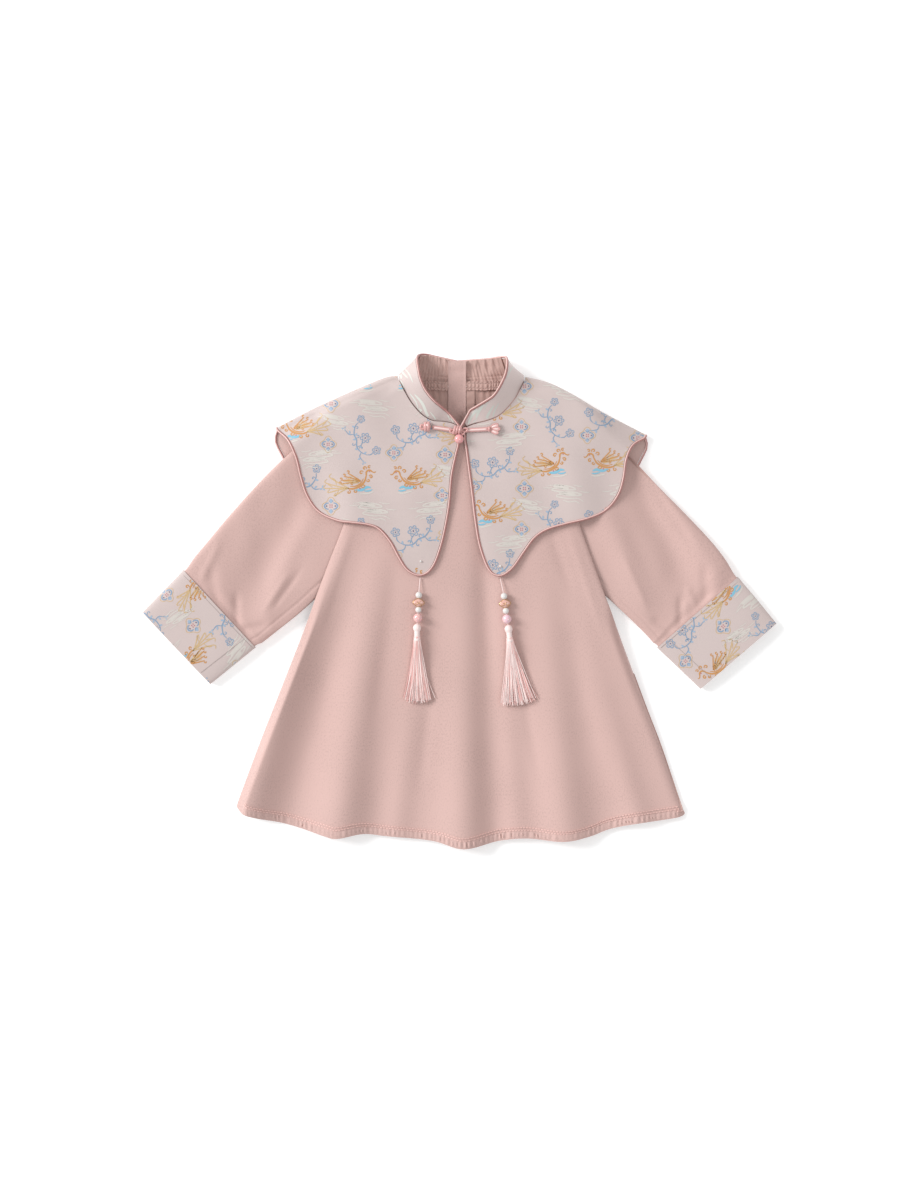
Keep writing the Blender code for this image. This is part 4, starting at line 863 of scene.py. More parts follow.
def front_grid():
    """The front's upper face with its creases and puckered hem."""
    across = np.concatenate([np.linspace(0, 0.024, 9)[:-1], np.linspace(0.024, 0.976, 300),
                             np.linspace(0.976, 1, 9)[1:]])
    down = np.concatenate([np.linspace(0, 0.03, 7)[:-1], np.linspace(0.03, 0.955, 108),
                           np.linspace(0.955, 1, 20)[1:]])
    left = [Spot(row.left, row.up) for row in BODY_SIDES]
    right = [Spot(row.right, row.up) for row in BODY_SIDES]
    plan = patch(FRONT_TOP, HEM_EDGE, left, right, down, across)
    x, y = plan[..., 0], plan[..., 1]
    height = front_height(x, y)
    inward = smooth(0, 10, np.minimum(x - side_at(y, "left"), side_at(y, "right") - x))
    folds = crease_rise(FRONT_FOLDS, x, y, off_the_edge=True)
    by_pendant = np.exp(-((np.abs(x - 2) - PENDANT_ASIDE) / PENDANT_CLEAR) ** 2)
    by_pendant = by_pendant * smooth(-130, -105, y) * (1 - smooth(30, 45, y))
    folds = folds - np.maximum(folds, 0) * by_pendant
    ripple = FRONT_RIPPLE_RISE * ripples(x, y * 0.4, 4, FRONT_RIPPLE_SIZE)
    height = height + inward * (folds + crease_rise(FRONT_CREASES, x, y) + ripple)
    above_hem = np.linalg.norm(plan - plan[-1:], axis=-1)
    band = smooth(0, 2.5, above_hem) * (1 - smooth(HEM_STITCH_UP - 2.5, HEM_STITCH_UP + 1.5, above_hem))
    pucker = bpy.context.scene.dress_sizes.pucker / MM
    uneven = np.clip(1.0 + 0.6 * ripples(x, x * 0, 8, 34.0), 0.6, 1.4)
    height = height + band * (0.3 + uneven * pucker * np.sin(
        2 * math.pi * (x + 1.6 * ripples(x, x * 0, 7, 16.0)) / HEM_PUCKER_PITCH))
    height = height - 0.15 * np.exp(-((above_hem - HEM_STITCH_UP) / 0.8) ** 2)
    return plan, np.dstack([x, y, height])


def laid_line(piece, spots, lift, step=0.0, stitch=0.0):
    """Lines that lie on a piece as seen from above: one whole line, or stitches at each step along it."""
    tree = surface_tree(piece.data)
    spots = np.array([(spot[0], spot[1]) for spot in spots], float)
    far = np.concatenate([[0.0], np.cumsum(np.linalg.norm(np.diff(spots, axis=0), axis=1))])
    starts = np.arange(0.0, far[-1] - stitch, step) if step else [0.0]
    lines = []
    for start in starts:
        count = 5 if step else int(far[-1] / 1.2)
        places = []
        for run in np.linspace(start, start + stitch if step else far[-1], count):
            x, y = np.interp(run, far, spots[:, 0]), np.interp(run, far, spots[:, 1])
            spot = tree.ray_cast(Vector((x * MM, y * MM, 1.0)), Vector((0, 0, -1.0)))[0]
            if spot is not None:
                places.append((x, y, spot.z / MM + lift))
        if len(places) > 3:
            lines.append(np.array(places))
    return lines


class DRESS_OT_front(bpy.types.Operator):
    """Make the A-line front"""

    bl_idname = "dress.front"
    bl_label = "Front"

    def execute(self, context):
        plan, face = front_grid()
        inner = face - grid_normals(face) * CLOTH
        lowest = back_rest(face[..., 0], face[..., 1]) + WALL + SEAM_GAP
        inner[..., 2] = np.maximum(inner[..., 2], lowest)
        face[..., 2] = np.maximum(face[..., 2], lowest + 0.02)
        piece = cloth("front_cloth", face, inner, plan, [finish("rose_cloth"), finish("rose_inside")])
        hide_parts("front_panel")
        hem = along(HEM_EDGE, np.linspace(0.004, 0.996, 400))[:, :2]
        heading = np.gradient(hem, axis=0)
        heading /= np.linalg.norm(heading, axis=1, keepdims=True)
        inward = np.stack([-heading[:, 1], heading[:, 0]], axis=-1)
        inward *= np.sign(inward[:, 1:2])
        parts = []
        for up, bend in HEM_ROWS:
            line = hem + inward * (up + bend * np.sin(hem[:, :1] / 27.0))
            for route in laid_line(piece, line, HEM_STITCH_LIFT, HEM_STITCH_PITCH,
                                   HEM_STITCH_PITCH * HEM_STITCH_COVER):
                parts.append((*tube_parts(route, HEM_THREAD_RADIUS, 4, ends=0.6), 0))
        stitches = joined("hem_stitches", parts, [finish("hem_thread")])
        return {"FINISHED"}


# The elastic channel across the back of the neck, with a row of stitches near each edge
CHANNEL_LEFT, CHANNEL_RIGHT = -53.0, 56.0
CHANNEL_LOW, CHANNEL_HIGH = 219.4, 228.6
CHANNEL_ROWS = (221.6, 226.6)
CHANNEL_REST = 5.5
CHANNEL_CLOTH = 0.6
CHANNEL_PUCKER_PITCH = 3.7
CHANNEL_STITCH = 1.9
CHANNEL_STITCH_PITCH = 2.9
CHANNEL_THREAD_RADIUS = 0.22
# The narrow underlap beside the placket
UNDERLAP_X = (7.2, 15.6)
UNDERLAP_Y = (220.4, 150.0)
UNDERLAP_REST = 4.9


class DRESS_OT_back(bpy.types.Operator):
    """Make the two halves of the back and the placket"""

    bl_idname = "dress.back"
    bl_label = "Back"

    def make_channel(self):
        """The elastic channel on each side of the placket."""
        middle = BACK_OPENING_X
        for side, first, last in (("left", CHANNEL_LEFT, middle - PLACKET_WIDTH / 2 - 0.4),
                                  ("right", middle + PLACKET_WIDTH / 2 + 0.4, CHANNEL_RIGHT)):
            x, y = np.meshgrid(np.linspace(first, last, 120), np.linspace(CHANNEL_HIGH, CHANNEL_LOW, 22))
            pucker = np.sin(2 * math.pi * (x + 1.1 * ripples(x, y * 0.2, 41, 14.0)) / CHANNEL_PUCKER_PITCH)
            loose = 1 + 0.6 * ripples(x, y, 42, 12.0)
            away = np.minimum(np.abs(y - CHANNEL_ROWS[0]), np.abs(y - CHANNEL_ROWS[1]))
            rise = 0.8 * loose * (0.5 + 0.5 * pucker) * smooth(0.0, 1.6, away) + 0.25
            rest = np.full(x.shape, CHANNEL_REST)
            edge = y + 0.5 * ripples(x, x * 0, 43, 18.0)
            piece = cloth("neck_channel_" + side, np.dstack([x, edge, rest + CHANNEL_CLOTH + rise]),
                          np.dstack([x, edge, rest]), np.dstack([x, y]), [finish("rose_inside")])
            parts = []
            for row in CHANNEL_ROWS:
                for start in np.arange(first + 1.5, last - 2.5, CHANNEL_STITCH_PITCH):
                    drift = 0.5 * float(ripples(np.array(start), np.array(0.0), 43, 18.0))
                    path = [(start + part, row + drift,
                             CHANNEL_REST + 0.8 + 0.25 * math.sin(math.pi * part / CHANNEL_STITCH))
                            for part in (0.0, 0.5, 0.95, 1.4, CHANNEL_STITCH)]
                    parts.append((*tube_parts(path, CHANNEL_THREAD_RADIUS, 4), 0))
            stitches = joined("neck_stitches_" + side, parts, [finish("sewing_rose")])

        x, y = np.meshgrid(np.linspace(*UNDERLAP_X, 14), np.linspace(*UNDERLAP_Y, 60))
        rest = np.full(x.shape, UNDERLAP_REST)
        face = np.dstack([x, y, rest + CHANNEL_CLOTH + 0.3 * ripples(x, y, 45, 12.0)])
        cloth("neck_underlap", face, np.dstack([x, y, rest]), np.dstack([x, y]),
                        [finish("rose_inside")])

    def execute(self, context):
        for side, sign in (("left", -1), ("right", 1)):
            centre = BACK_OPENING_X + sign * SEAM_GAP / 2
            down = np.concatenate([np.linspace(0, 0.14, 40)[:-1], np.linspace(0.14, 1, 90)])
            across = np.linspace(0, 1, 110)
            outer = [Spot(getattr(row, side) - sign * BACK_SIDE_INSET, row.up) for row in BODY_SIDES]
            top = [spot for spot in BACK_TOP[::-sign] if spot.x * sign > 1] + [Spot(centre, BACK_NECK_UP)]
            hem = [Spot(spot.x - sign * BACK_SIDE_INSET, spot.y + BACK_HEM_RISE)
                   for spot in HEM_EDGE[::-sign] if spot.x * sign > 10][::2] + [Spot(centre, BACK_HEM_UP)]
            top[0] = outer[0]
            hem[0] = outer[-1]
            middle = [top[-1], Spot(centre, 0), hem[-1]]
            plan = patch(top, hem, outer, middle, down, across)
            x, y = plan[..., 0], plan[..., 1]
            rest = back_rest(x, y)
            gathers = smooth(196, 220, y) * (1 - smooth(52, 64, np.abs(x))) * smooth(8, 14, np.abs(x + 2))
            upper = rest + CLOTH + gathers * 0.4 * (1 + np.sin(2 * math.pi * (x + 2.6 * ripples(
                x, y * 0.3, 11, 26.0)) / 7.0))
            under = np.dstack([x, y, rest])
            face = np.dstack([x, y, upper])
            if sign > 0:
                face, under, plan = face[:, ::-1], under[:, ::-1], plan[:, ::-1]
            piece = cloth("back_cloth_" + side, face, under, plan,
                          [finish("rose_inside"), finish("rose_cloth")])
            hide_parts("back_" + side)
        self.make_channel()
        low = BACK_REST + WALL + SEAM_GAP
        y = np.linspace(PLACKET_TOP_UP, BACK_NECK_UP - BACK_OPENING_LENGTH, 120)
        left = BACK_OPENING_X - PLACKET_WIDTH / 2
        x = np.linspace(left, left + PLACKET_WIDTH, 24)
        plan_x, plan_y = np.meshgrid(x, y)
        edge = 0.35 * smooth(2.6, 1.0, np.minimum(plan_x - x[0], x[-1] - plan_x))
        rest = low + 1.2 * smooth(238.0, 246.0, plan_y)
        face = np.dstack([plan_x, plan_y, rest + CLOTH + edge + 0.3 * ripples(plan_x, plan_y, 44, 22.0)])
        piece = cloth("placket", face, np.dstack([plan_x, plan_y, rest]), np.dstack([plan_x, plan_y]),
                      [finish("rose_cloth")])
        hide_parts("back_placket")
        return {"FINISHED"}


# Sleeves and cuffs

def sleeve_face(rows, folds, parts, insets):
    """Rings of a flattened sleeve, each an inset inside the sleeve's outer face."""
    table = np.array([tuple(row) for row in rows])
    even = np.linspace(0, 1, 120)
    row_parts = along(table, even)[:, 0]
    values = [np.interp(parts, row_parts, column)[:, None] for column in along(table[:, 1:], even).T]
    insets = np.asarray(insets, float)[:, None]
    half_x, half_y = (values[0] - values[2]) / 2, (values[1] - values[3]) / 2
    width = np.hypot(half_x, half_y)
    angle = 2 * math.pi * np.arange(SLEEVE_POINTS) / SLEEVE_POINTS
    across = np.cos(angle)[None]
    cosine = np.abs(across) ** (1 / SLEEVE_SIDE_FULLNESS)
    sine = np.sqrt(np.maximum(1 - cosine ** 2, 0.0)) * np.sign(np.sin(angle) + 1e-9)[None]
    x = (values[0] + values[2]) / 2 + half_x / width * across * (width - insets)
    y = (values[1] + values[3]) / 2 + half_y / width * across * (width - insets)
    on_body = 1.0 - smooth(8, 40, outside(BODY_OUTLINE, x, y))
    on_cape = np.maximum(1.0 - smooth(6, 30, outside(cape_back_outline(CAPE_LEFT), x, y)),
                         1.0 - smooth(6, 30, outside(cape_back_outline(CAPE_RIGHT), x, y)))
    rest = np.maximum(SLEEVE_ROOT_REST * on_body, BACK_REST * on_cape) + insets
    middle = (rest + values[4]) / 2
    upper = middle + (values[4] - insets - middle) * np.abs(sine) ** SLEEVE_CROWN_FULLNESS
    fade = (1.0 - smooth(0.735, CUFF_START, parts))[:, None] * smooth(0.0, 0.45, np.abs(sine))
    for fold in folds:
        run = np.array(((fold.end_along - fold.along) * SLEEVE_LONG, fold.end_across - fold.across))
        ahead, aside = (parts[:, None] - fold.along) * SLEEVE_LONG, across - fold.across
        part = (ahead * run[0] + aside * run[1]) / (run @ run)
        clear = (ahead * run[1] - aside * run[0]) / np.hypot(*run)
        ends = smooth(-0.25, 0.25, part) * (1.0 - smooth(0.75, 1.25, part))
        upper = upper + fold.rise * fade * ends * np.exp(-(clear / fold.wide) ** 2)
    if folds:
        groove = np.exp(-((across - SLEEVE_SEAM_ACROSS) / 0.016) ** 2) * smooth(0.04, 0.12, parts)[:, None]
        upper = upper - 0.7 * fade * groove + 0.3 * fade * ripples(x, y, 31, 46.0)
    under = middle - (middle - rest) * (1.0 - np.maximum(0.0, 1.0 + sine / 0.5) ** 2)
    height = np.where(sine >= 0, upper, under)
    plan = np.dstack([across * width * np.where(sine >= 0, 1, -1), parts[:, None] * 250.0 + 0 * across])
    return np.dstack([x, y, height]), plan


class DRESS_OT_sleeves(bpy.types.Operator):
    """Make the long sleeves and their turned-up cuffs"""

    bl_idname = "dress.sleeves"
    bl_label = "Sleeves and cuffs"

    def execute(self, context):
        for side, rows, folds in (("left", SLEEVE_LEFT, SLEEVE_FOLDS_LEFT),
                                  ("right", SLEEVE_RIGHT, SLEEVE_FOLDS_RIGHT)):
            parts = np.concatenate([np.linspace(0, CUFF_START - 0.005, 120), [0.80, 0.9, 0.985]])
            inside_cuff = (WALL + LAYER_GAP) * smooth(CUFF_START - 0.06, CUFF_START - 0.01, parts)
            face, plan = sleeve_face(rows, folds, parts, inside_cuff)
            inner, plan = sleeve_face(rows, folds, parts, inside_cuff + CLOTH)
            inner[..., 2] = np.minimum(inner[..., 2], face[..., 2] - 0.4 * (face[..., 2] > inner[..., 2]))
            piece = cloth("sleeve_cloth_" + side, face, inner, plan,
                          [finish("rose_cloth"), finish("rose_inside")], closed=True)
            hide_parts("sleeve_" + side)
            parts = np.linspace(CUFF_START, 1.0, 40)
            face, plan = sleeve_face(rows, (), parts, 0 * parts)
            inner, plan = sleeve_face(rows, (), parts, 0 * parts + CLOTH)
            piece = cloth("cuff_cloth_" + side, face, inner, plan,
                          [finish("brocade"), finish("rose_inside")], closed=True)
            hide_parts("cuff_" + side)
            self.sew_cuff(side, rows, piece)
        return {"FINISHED"}

    def sew_cuff(self, side, rows, piece):
        """The cuff's lengthwise seam and the stitching beside its turned edge, each drawn as one whole line
        in a darker copy of the brocade: the seam and stitching are real, their darkness is painted shade.
        """
        lines = []
        for parts, across in CUFF_SEAMS:
            even = along([tuple(row) for row in rows], np.linspace(0, 1, 120))
            spots = []
            for part, place in zip(np.linspace(*parts, 30), np.linspace(*across, 30)):
                upper_x, upper_y, lower_x, lower_y = [np.interp(part, even[:, 0], even[:, column])
                                                      for column in (1, 2, 3, 4)]
                share = (1 - place) / 2
                spots.append((upper_x + (lower_x - upper_x) * share, upper_y + (lower_y - upper_y) * share))
            lines += laid_line(piece, spots, 0.02)
        joined("cuff_seams_" + side, [(*tube_parts(line, 0.26, 4, ends=0.5), 0) for line in lines],
               [finish("cuff_seam")])


# The cape and the collar

CAPE_ROWS = np.linspace(0.0, 1.0, 84)
CAPE_FRONT = np.linspace(0.0, 1.0, 110)
CAPE_BACK = np.linspace(0.0, 1.0, 40)
CAPE_TURNS = np.radians(np.linspace(78, -74, 17))


def cape_grid(half):
    """The outer face of a cape half: front flap, fold over the shoulder, back."""
    down = CAPE_ROWS
    rows = COLLAR_LEFT if half.side < 0 else COLLAR_RIGHT
    neck = [Spot(*(np.array(spot) * (1 - NECK_SEAM_CLOSING)
                   + np.array((row.seam_x, row.seam_y)) * NECK_SEAM_CLOSING))
            for spot, row in zip(half.neck, rows)]
    silhouette = along(half.shoulder, down)
    heading = np.gradient(silhouette, axis=0)
    heading /= np.linalg.norm(heading, axis=1, keepdims=True)
    outward = np.stack([-heading[:, 1], heading[:, 0]], axis=-1) * -half.side
    outward *= np.sign(outward[:, 1:2])
    depth = CAPE_FOLD_DEPTH - CAPE_FOLD_THINNING * smooth(0.75, 1.0, down)
    depth = depth * (0.6 + 0.4 * smooth(0.0, 0.12, down))
    turn_line = silhouette - outward * depth[:, None]
    near = neck[:-1] + [Spot(*turn_line[0])]
    far = list(half.lobes[:-1]) + [Spot(*turn_line[-1])]
    front = patch(near, far, half.centre_edge, turn_line, down, CAPE_FRONT)
    back_near = [Spot(*turn_line[0])] + list(half.back_neck[1:])
    back_far = [Spot(*turn_line[-1])] + list(half.back_edge[1:])
    back = patch(back_near, back_far, turn_line, half.back_centre, down, CAPE_BACK)
    at_neck = smooth(0.86, 1.0, CAPE_FRONT)[None, :] * (1.0 - smooth(0.0, 0.3, down))[:, None]
    front_z = flap_height(front[..., 0], front[..., 1]) - CAPE_NECK_DROP * at_neck
    top_z = front_z[:, -1]
    turn = []
    for angle in CAPE_TURNS:
        place = turn_line + outward * (depth * math.cos(angle))[:, None]
        turn.append(np.column_stack([place, top_z / 2 + top_z / 2 * math.sin(angle)]))
    turn = np.stack(turn, axis=1)
    front = np.dstack([front, front_z])
    back = np.dstack([back, np.zeros(back.shape[:2])])
    return np.concatenate([front, turn, back], axis=1)


def edge_route(middle, reach):
    """A line a little way outside a grid's last row."""
    outward = middle[-1] - middle[-2]
    outward /= np.linalg.norm(outward, axis=-1, keepdims=True)
    return middle[-1] + outward * reach


def highlight(route, radius):
    """A painted highlight: a thin pale tube along the upper left of a piping, where its satin would catch the
    key light.
    """
    line = np.array(route, float) + np.array((-0.42, 0.14, 0.62)) * radius
    return (*tube_parts(line, radius * 0.5, 8), 1)


class DRESS_OT_cape(bpy.types.Operator):
    """Make the two halves of the cape collar and their piping"""

    bl_idname = "dress.cape"
    bl_label = "Cape collar"

    def execute(self, context):
        radius = context.scene.dress_sizes.piping_radius / MM
        reach = radius + 1.5 * SEAM_GAP
        for side, half in (("left", CAPE_LEFT), ("right", CAPE_RIGHT)):
            face = cape_grid(half)
            inner = face - grid_normals(face) * CLOTH * half.side
            piece = cloth("cape_cloth_" + side, face, inner, face[..., :2],
                          [finish("brocade"), finish("cape_lining")])
            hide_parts("cape_" + side)
            middle = (face + inner) / 2
            edge = edge_route(middle, reach)
            aside = middle[:, 0] - middle[:, 1]
            aside /= np.linalg.norm(aside, axis=-1, keepdims=True)
            front_edge = middle[:, 0] + aside * reach
            for line in (edge[:len(CAPE_FRONT)], front_edge):
                line[:, 2] = np.maximum(line[:, 2], PIPING_SIT + flap_height(line[:, 0], line[:, 1]))
            bend = aside[-1] + edge[0] - middle[-1, 0]
            tip = middle[-1, 0] + bend / np.linalg.norm(bend) * reach
            tip[2] = max(front_edge[-1, 2], edge[0, 2])
            route = np.concatenate([front_edge[4:-1], [tip], edge[1:]])
            route[:, 2] = np.maximum(route[:, 2], radius)
            route = np.concatenate([route[:1], (route[:-2] + 2 * route[1:-1] + route[2:]) / 4, route[-1:]])
            trim = joined("cape_trim_" + side,
                          [(*tube_parts(route, radius, 10), 0), highlight(route, radius)],
                          [finish("piping_satin"), finish("piping_highlight")])
            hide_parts("cape_piping_" + side)
        return {"FINISHED"}


def collar_face(rows, columns, heights, start=0.0):
    """The outer face of half the stand collar, from its seam to its rim."""
    table = along([tuple(row) for row in rows], np.linspace(start, 1.0, columns))
    table[:, [2, 5]] = np.maximum(table[:, [2, 5]], 0.0)
    seam, rim = table[:, :3], table[:, 3:]
    share = np.linspace(0.0, 1.0, heights)[:, None, None]
    return seam[None] * (1 - share) + rim[None] * share


COLLAR_COLUMNS = 130
FACING_COLUMNS = 170
# How far the gusset reaches from the collar's fold, in steps of a 240th of the collar's seam
GUSSET_STEPS = 240
GUSSET_REACH = 26


class DRESS_OT_collar(bpy.types.Operator):
    """Make the stand collar, its gathered facing and its piping"""

    bl_idname = "dress.collar"
    bl_label = "Stand collar"

    def close_shoulder(self, side, rows, sign):
        """Sew in the small gusset under the collar's fold over the shoulder, inside the neck."""
        seam = along([tuple(row)[:3] for row in rows], np.linspace(0, 1, GUSSET_STEPS + 1))
        fold = int(np.argmax(seam[:, 1]))
        front = seam[fold - GUSSET_REACH:fold]
        back = seam[fold + 1:fold + GUSSET_REACH + 1][::-1]
        share = np.linspace(0, 1, 9)[:, None, None]
        face = front[None] * (1 - share) + back[None] * share
        inner = face + np.array((sign * CLOTH, 0.0, 0.0))
        piece = cloth("neck_gusset_" + side, face, inner, face[..., 1:], [finish("rose_inside")])

    def execute(self, context):
        radius = context.scene.dress_sizes.piping_radius / MM
        for side, rows, sign in (("left", COLLAR_LEFT, 1), ("right", COLLAR_RIGHT, -1)):
            face = collar_face(rows, COLLAR_COLUMNS, 20)
            inner = face - grid_normals(face) * sign * CLOTH
            plan = np.dstack(np.meshgrid(np.linspace(0, 150, COLLAR_COLUMNS), np.linspace(0, 22, 20)))
            # The right half of the collar takes the lighter copy of the brocade: painted light on the half
            # that faces away from the key light.
            piece = cloth("collar_cloth_" + side, face, inner, plan,
                          [finish("brocade" if sign > 0 else "brocade_light"), finish("rose_inside")])
            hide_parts("collar_" + side)
            route = edge_route((face + inner) / 2, radius + 1.5 * SEAM_GAP)
            route[:, 2] = np.maximum(route[:, 2], radius)
            meet = np.array((NECK_MEET_X - sign * 1.35, rows[0].seam_y - 0.6, rows[0].seam_z + 1.6))
            knot = np.array((NECK_MEET_X - sign * 1.3, FROG_CENTRE_KNOT.y + 1.5, rows[0].seam_z + 1.6))
            start = along([knot, meet, route[9]], np.linspace(0, 1, 16))
            route = np.concatenate([start[:-1], route[9:]])
            trim = joined("collar_trim_" + side,
                          [(*tube_parts(route, radius, 10), 0), highlight(route, radius)],
                          [finish("piping_satin"), finish("piping_highlight")])
            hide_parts("collar_piping_" + side)
            back = collar_face(rows, FACING_COLUMNS, 26, FACING_START - FACING_TUCK)
            back_normals = grid_normals(back) * sign
            near = (back - back_normals * (WALL + SEAM_GAP))[2:]
            span = np.linspace(0, 60, FACING_COLUMNS)[None]
            high = np.linspace(0, 1, 24)[:, None]
            wave = smooth(-0.6, 0.7, ripples(span + 9 * high * sign, high * 12, 21, 13.0))
            wave = 1.3 * wave + 0.35 * ripples(span + 4 * high * sign, high * 9, 22, 5.0)
            channel = np.exp(-((high - 0.16) / 0.03) ** 2) + np.exp(-((high - 0.30) / 0.03) ** 2)
            held = smooth(0, 3, span) * (1 - smooth(54, 60, span)) * (1 - 0.5 * channel)
            far = (back - back_normals * (WALL + SEAM_GAP + CLOTH))[2:] - (
                back_normals[2:] * (0.3 + 1.0 * wave * held - 0.35 * channel)[..., None])
            over = near[-1:] - near[-2:-1]
            over = over / np.linalg.norm(over, axis=-1, keepdims=True) * (radius + SEAM_GAP)
            far, near = np.concatenate([far, far[-1:] + over]), np.concatenate([near, near[-1:] + over])
            plan = np.dstack(np.meshgrid(span[0], np.linspace(0, 25, 25)))
            lining = cloth("facing_cloth_" + side, far, near, plan, [finish("rose_inside")])
            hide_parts("collar_facing_" + side)
            self.close_shoulder(side, rows, sign)
        return {"FINISHED"}


# The brocade's woven figures, each drawn about its own middle in millimetres

Stroke = namedtuple("Stroke", "colour width ends points")
Motif = namedtuple("Motif", "figure x y turn size flip")


def stroke(colour, width, *points, ends=0.3):
    """A woven line through a few points, thinner at its ends."""
    return Stroke(colour, width, ends, points)


def dot(x, y, reach, colour):
    """A small round spot."""
    return stroke(colour, reach * 1.9, (x - reach * 0.8, y), (x + reach * 0.8, y), ends=0.5)


def petals(x, y, reach, count, colour, start=0.0, inner=0.3):
    """A ring of petals."""
    lines = []
    for step in range(count):
        turn = start + 2 * math.pi * step / count
        ahead, aside = math.cos(turn), math.sin(turn)
        lines.append(stroke(colour, reach * 0.5, (x + ahead * reach * inner, y + aside * reach * inner),
                            (x + ahead * reach, y + aside * reach), ends=0.35))
    return lines


def curl(x, y, reach, start, turns, colour, width):
    """A scroll that winds inward; turns below 0 wind clockwise."""
    points = []
    for step in range(10):
        part = step / 9
        turn = start + 2 * math.pi * turns * part
        points.append((x + math.cos(turn) * reach * (1 - 0.72 * part),
                       y + math.sin(turn) * reach * (1 - 0.72 * part)))
    return stroke(colour, width, *points, ends=0.5)


def blossom(x, y, reach, count, colour, start=0.0):
    """An open flower drawn in outline, with a spotted middle."""
    lines = [dot(x, y, reach * 0.16, "woven_slate")]
    half = math.pi / count
    for step in range(count):
        turn = start + 2 * half * step
        arc = [(x + math.cos(turn + part * half) * reach * size,
                y + math.sin(turn + part * half) * reach * size)
               for part, size in ((-0.85, 0.5), (-0.6, 0.92), (0.0, 1.06), (0.6, 0.92), (0.85, 0.5))]
        lines.append(stroke(colour, 0.8, *arc, ends=0.7))
        lines.append(stroke(colour, 0.6, (x + math.cos(turn) * reach * 0.3, y + math.sin(turn) * reach * 0.3),
                            (x + math.cos(turn) * reach * 0.72, y + math.sin(turn) * reach * 0.72), ends=0.6))
    return lines


def spray():
    """Blue flowers on a winding stem."""
    blue, pale = "woven_blue", "woven_pale_blue"
    lines = [stroke(blue, 1.15, (-18, -3), (-12, -7), (-4, -8), (3, -4), (10, -3), (17, 3), (19, 9)),
             stroke(blue, 0.9, (-18, -3), (-20, 1), (-19, 5)),
             stroke(blue, 0.9, (-4, -8), (-5, -3), (-2, 1)),
             stroke(blue, 0.9, (10, -3), (13, -8), (19, -9)),
             stroke(blue, 0.9, (-12, -7), (-15, -11), (-21, -11))]
    lines += blossom(-19.5, 9, 4.6, 5, blue, 0.4) + blossom(-0.5, 5.6, 5.6, 6, blue)
    lines += blossom(20.5, 13, 4.2, 5, blue)
    lines += petals(21.5, -9.2, 3.2, 3, pale, -0.9, 0.15) + petals(-23.5, -10.8, 2.8, 3, pale, 2.2, 0.15)
    lines += [curl(-8, -4.4, 2.2, -1.2, 0.8, blue, 0.8), curl(6, -0.6, 2.2, -2.0, -0.8, blue, 0.8),
              curl(1, -9.6, 2.2, 1.9, 0.8, blue, 0.8), curl(14.6, 3.6, 1.9, 0.0, 0.8, blue, 0.8)]
    for x, y, turn in ((-15, -5.5, 1.5), (-7, -8, -1.0), (4, -4, -1.2), (8, -3, 1.3), (16, 2, -0.5),
                       (13, -7, 0.5), (-4.6, -5, 2.7), (-17, -11, -1.6)):
        tip = (x + 3.8 * math.cos(turn), y + 3.8 * math.sin(turn))
        lines.append(stroke(pale, 1.7, (x, y), tip, ends=0.15))
    return lines


def medallion():
    """A four-lobed medallion within a thin diamond."""
    lines = []
    for side in (-1, 1):
        lines += [stroke("woven_blue", 1.3, (side * 2.6, 3.4), (side * 5.4, 3.0), (side * 7.4, 0),
                         (side * 5.4, -3.0), (side * 2.6, -3.4), ends=0.6),
                  dot(side * 4.9, 0, 0.85, "woven_slate"),
                  stroke("woven_pale_blue", 2.8, (0, side * 3.4), (0, side * 8.0), ends=0.35),
                  stroke("woven_blue", 0.9, (-2.6, side * 6.2), (0, side * 4.2), (2.6, side * 6.2)),
                  dot(side * 1.15, 1.15, 0.75, "woven_red"), dot(side * 1.15, -1.15, 0.75, "woven_red")]
    edge = []
    for step in range(33):
        turn = 2 * math.pi * step / 32
        reach = 8.6 + 1.5 * math.cos(4 * turn)
        edge.append((reach * math.cos(turn), reach * math.sin(turn)))
    lines.append(stroke("woven_straw", 0.55, *edge, ends=1.0))
    return lines


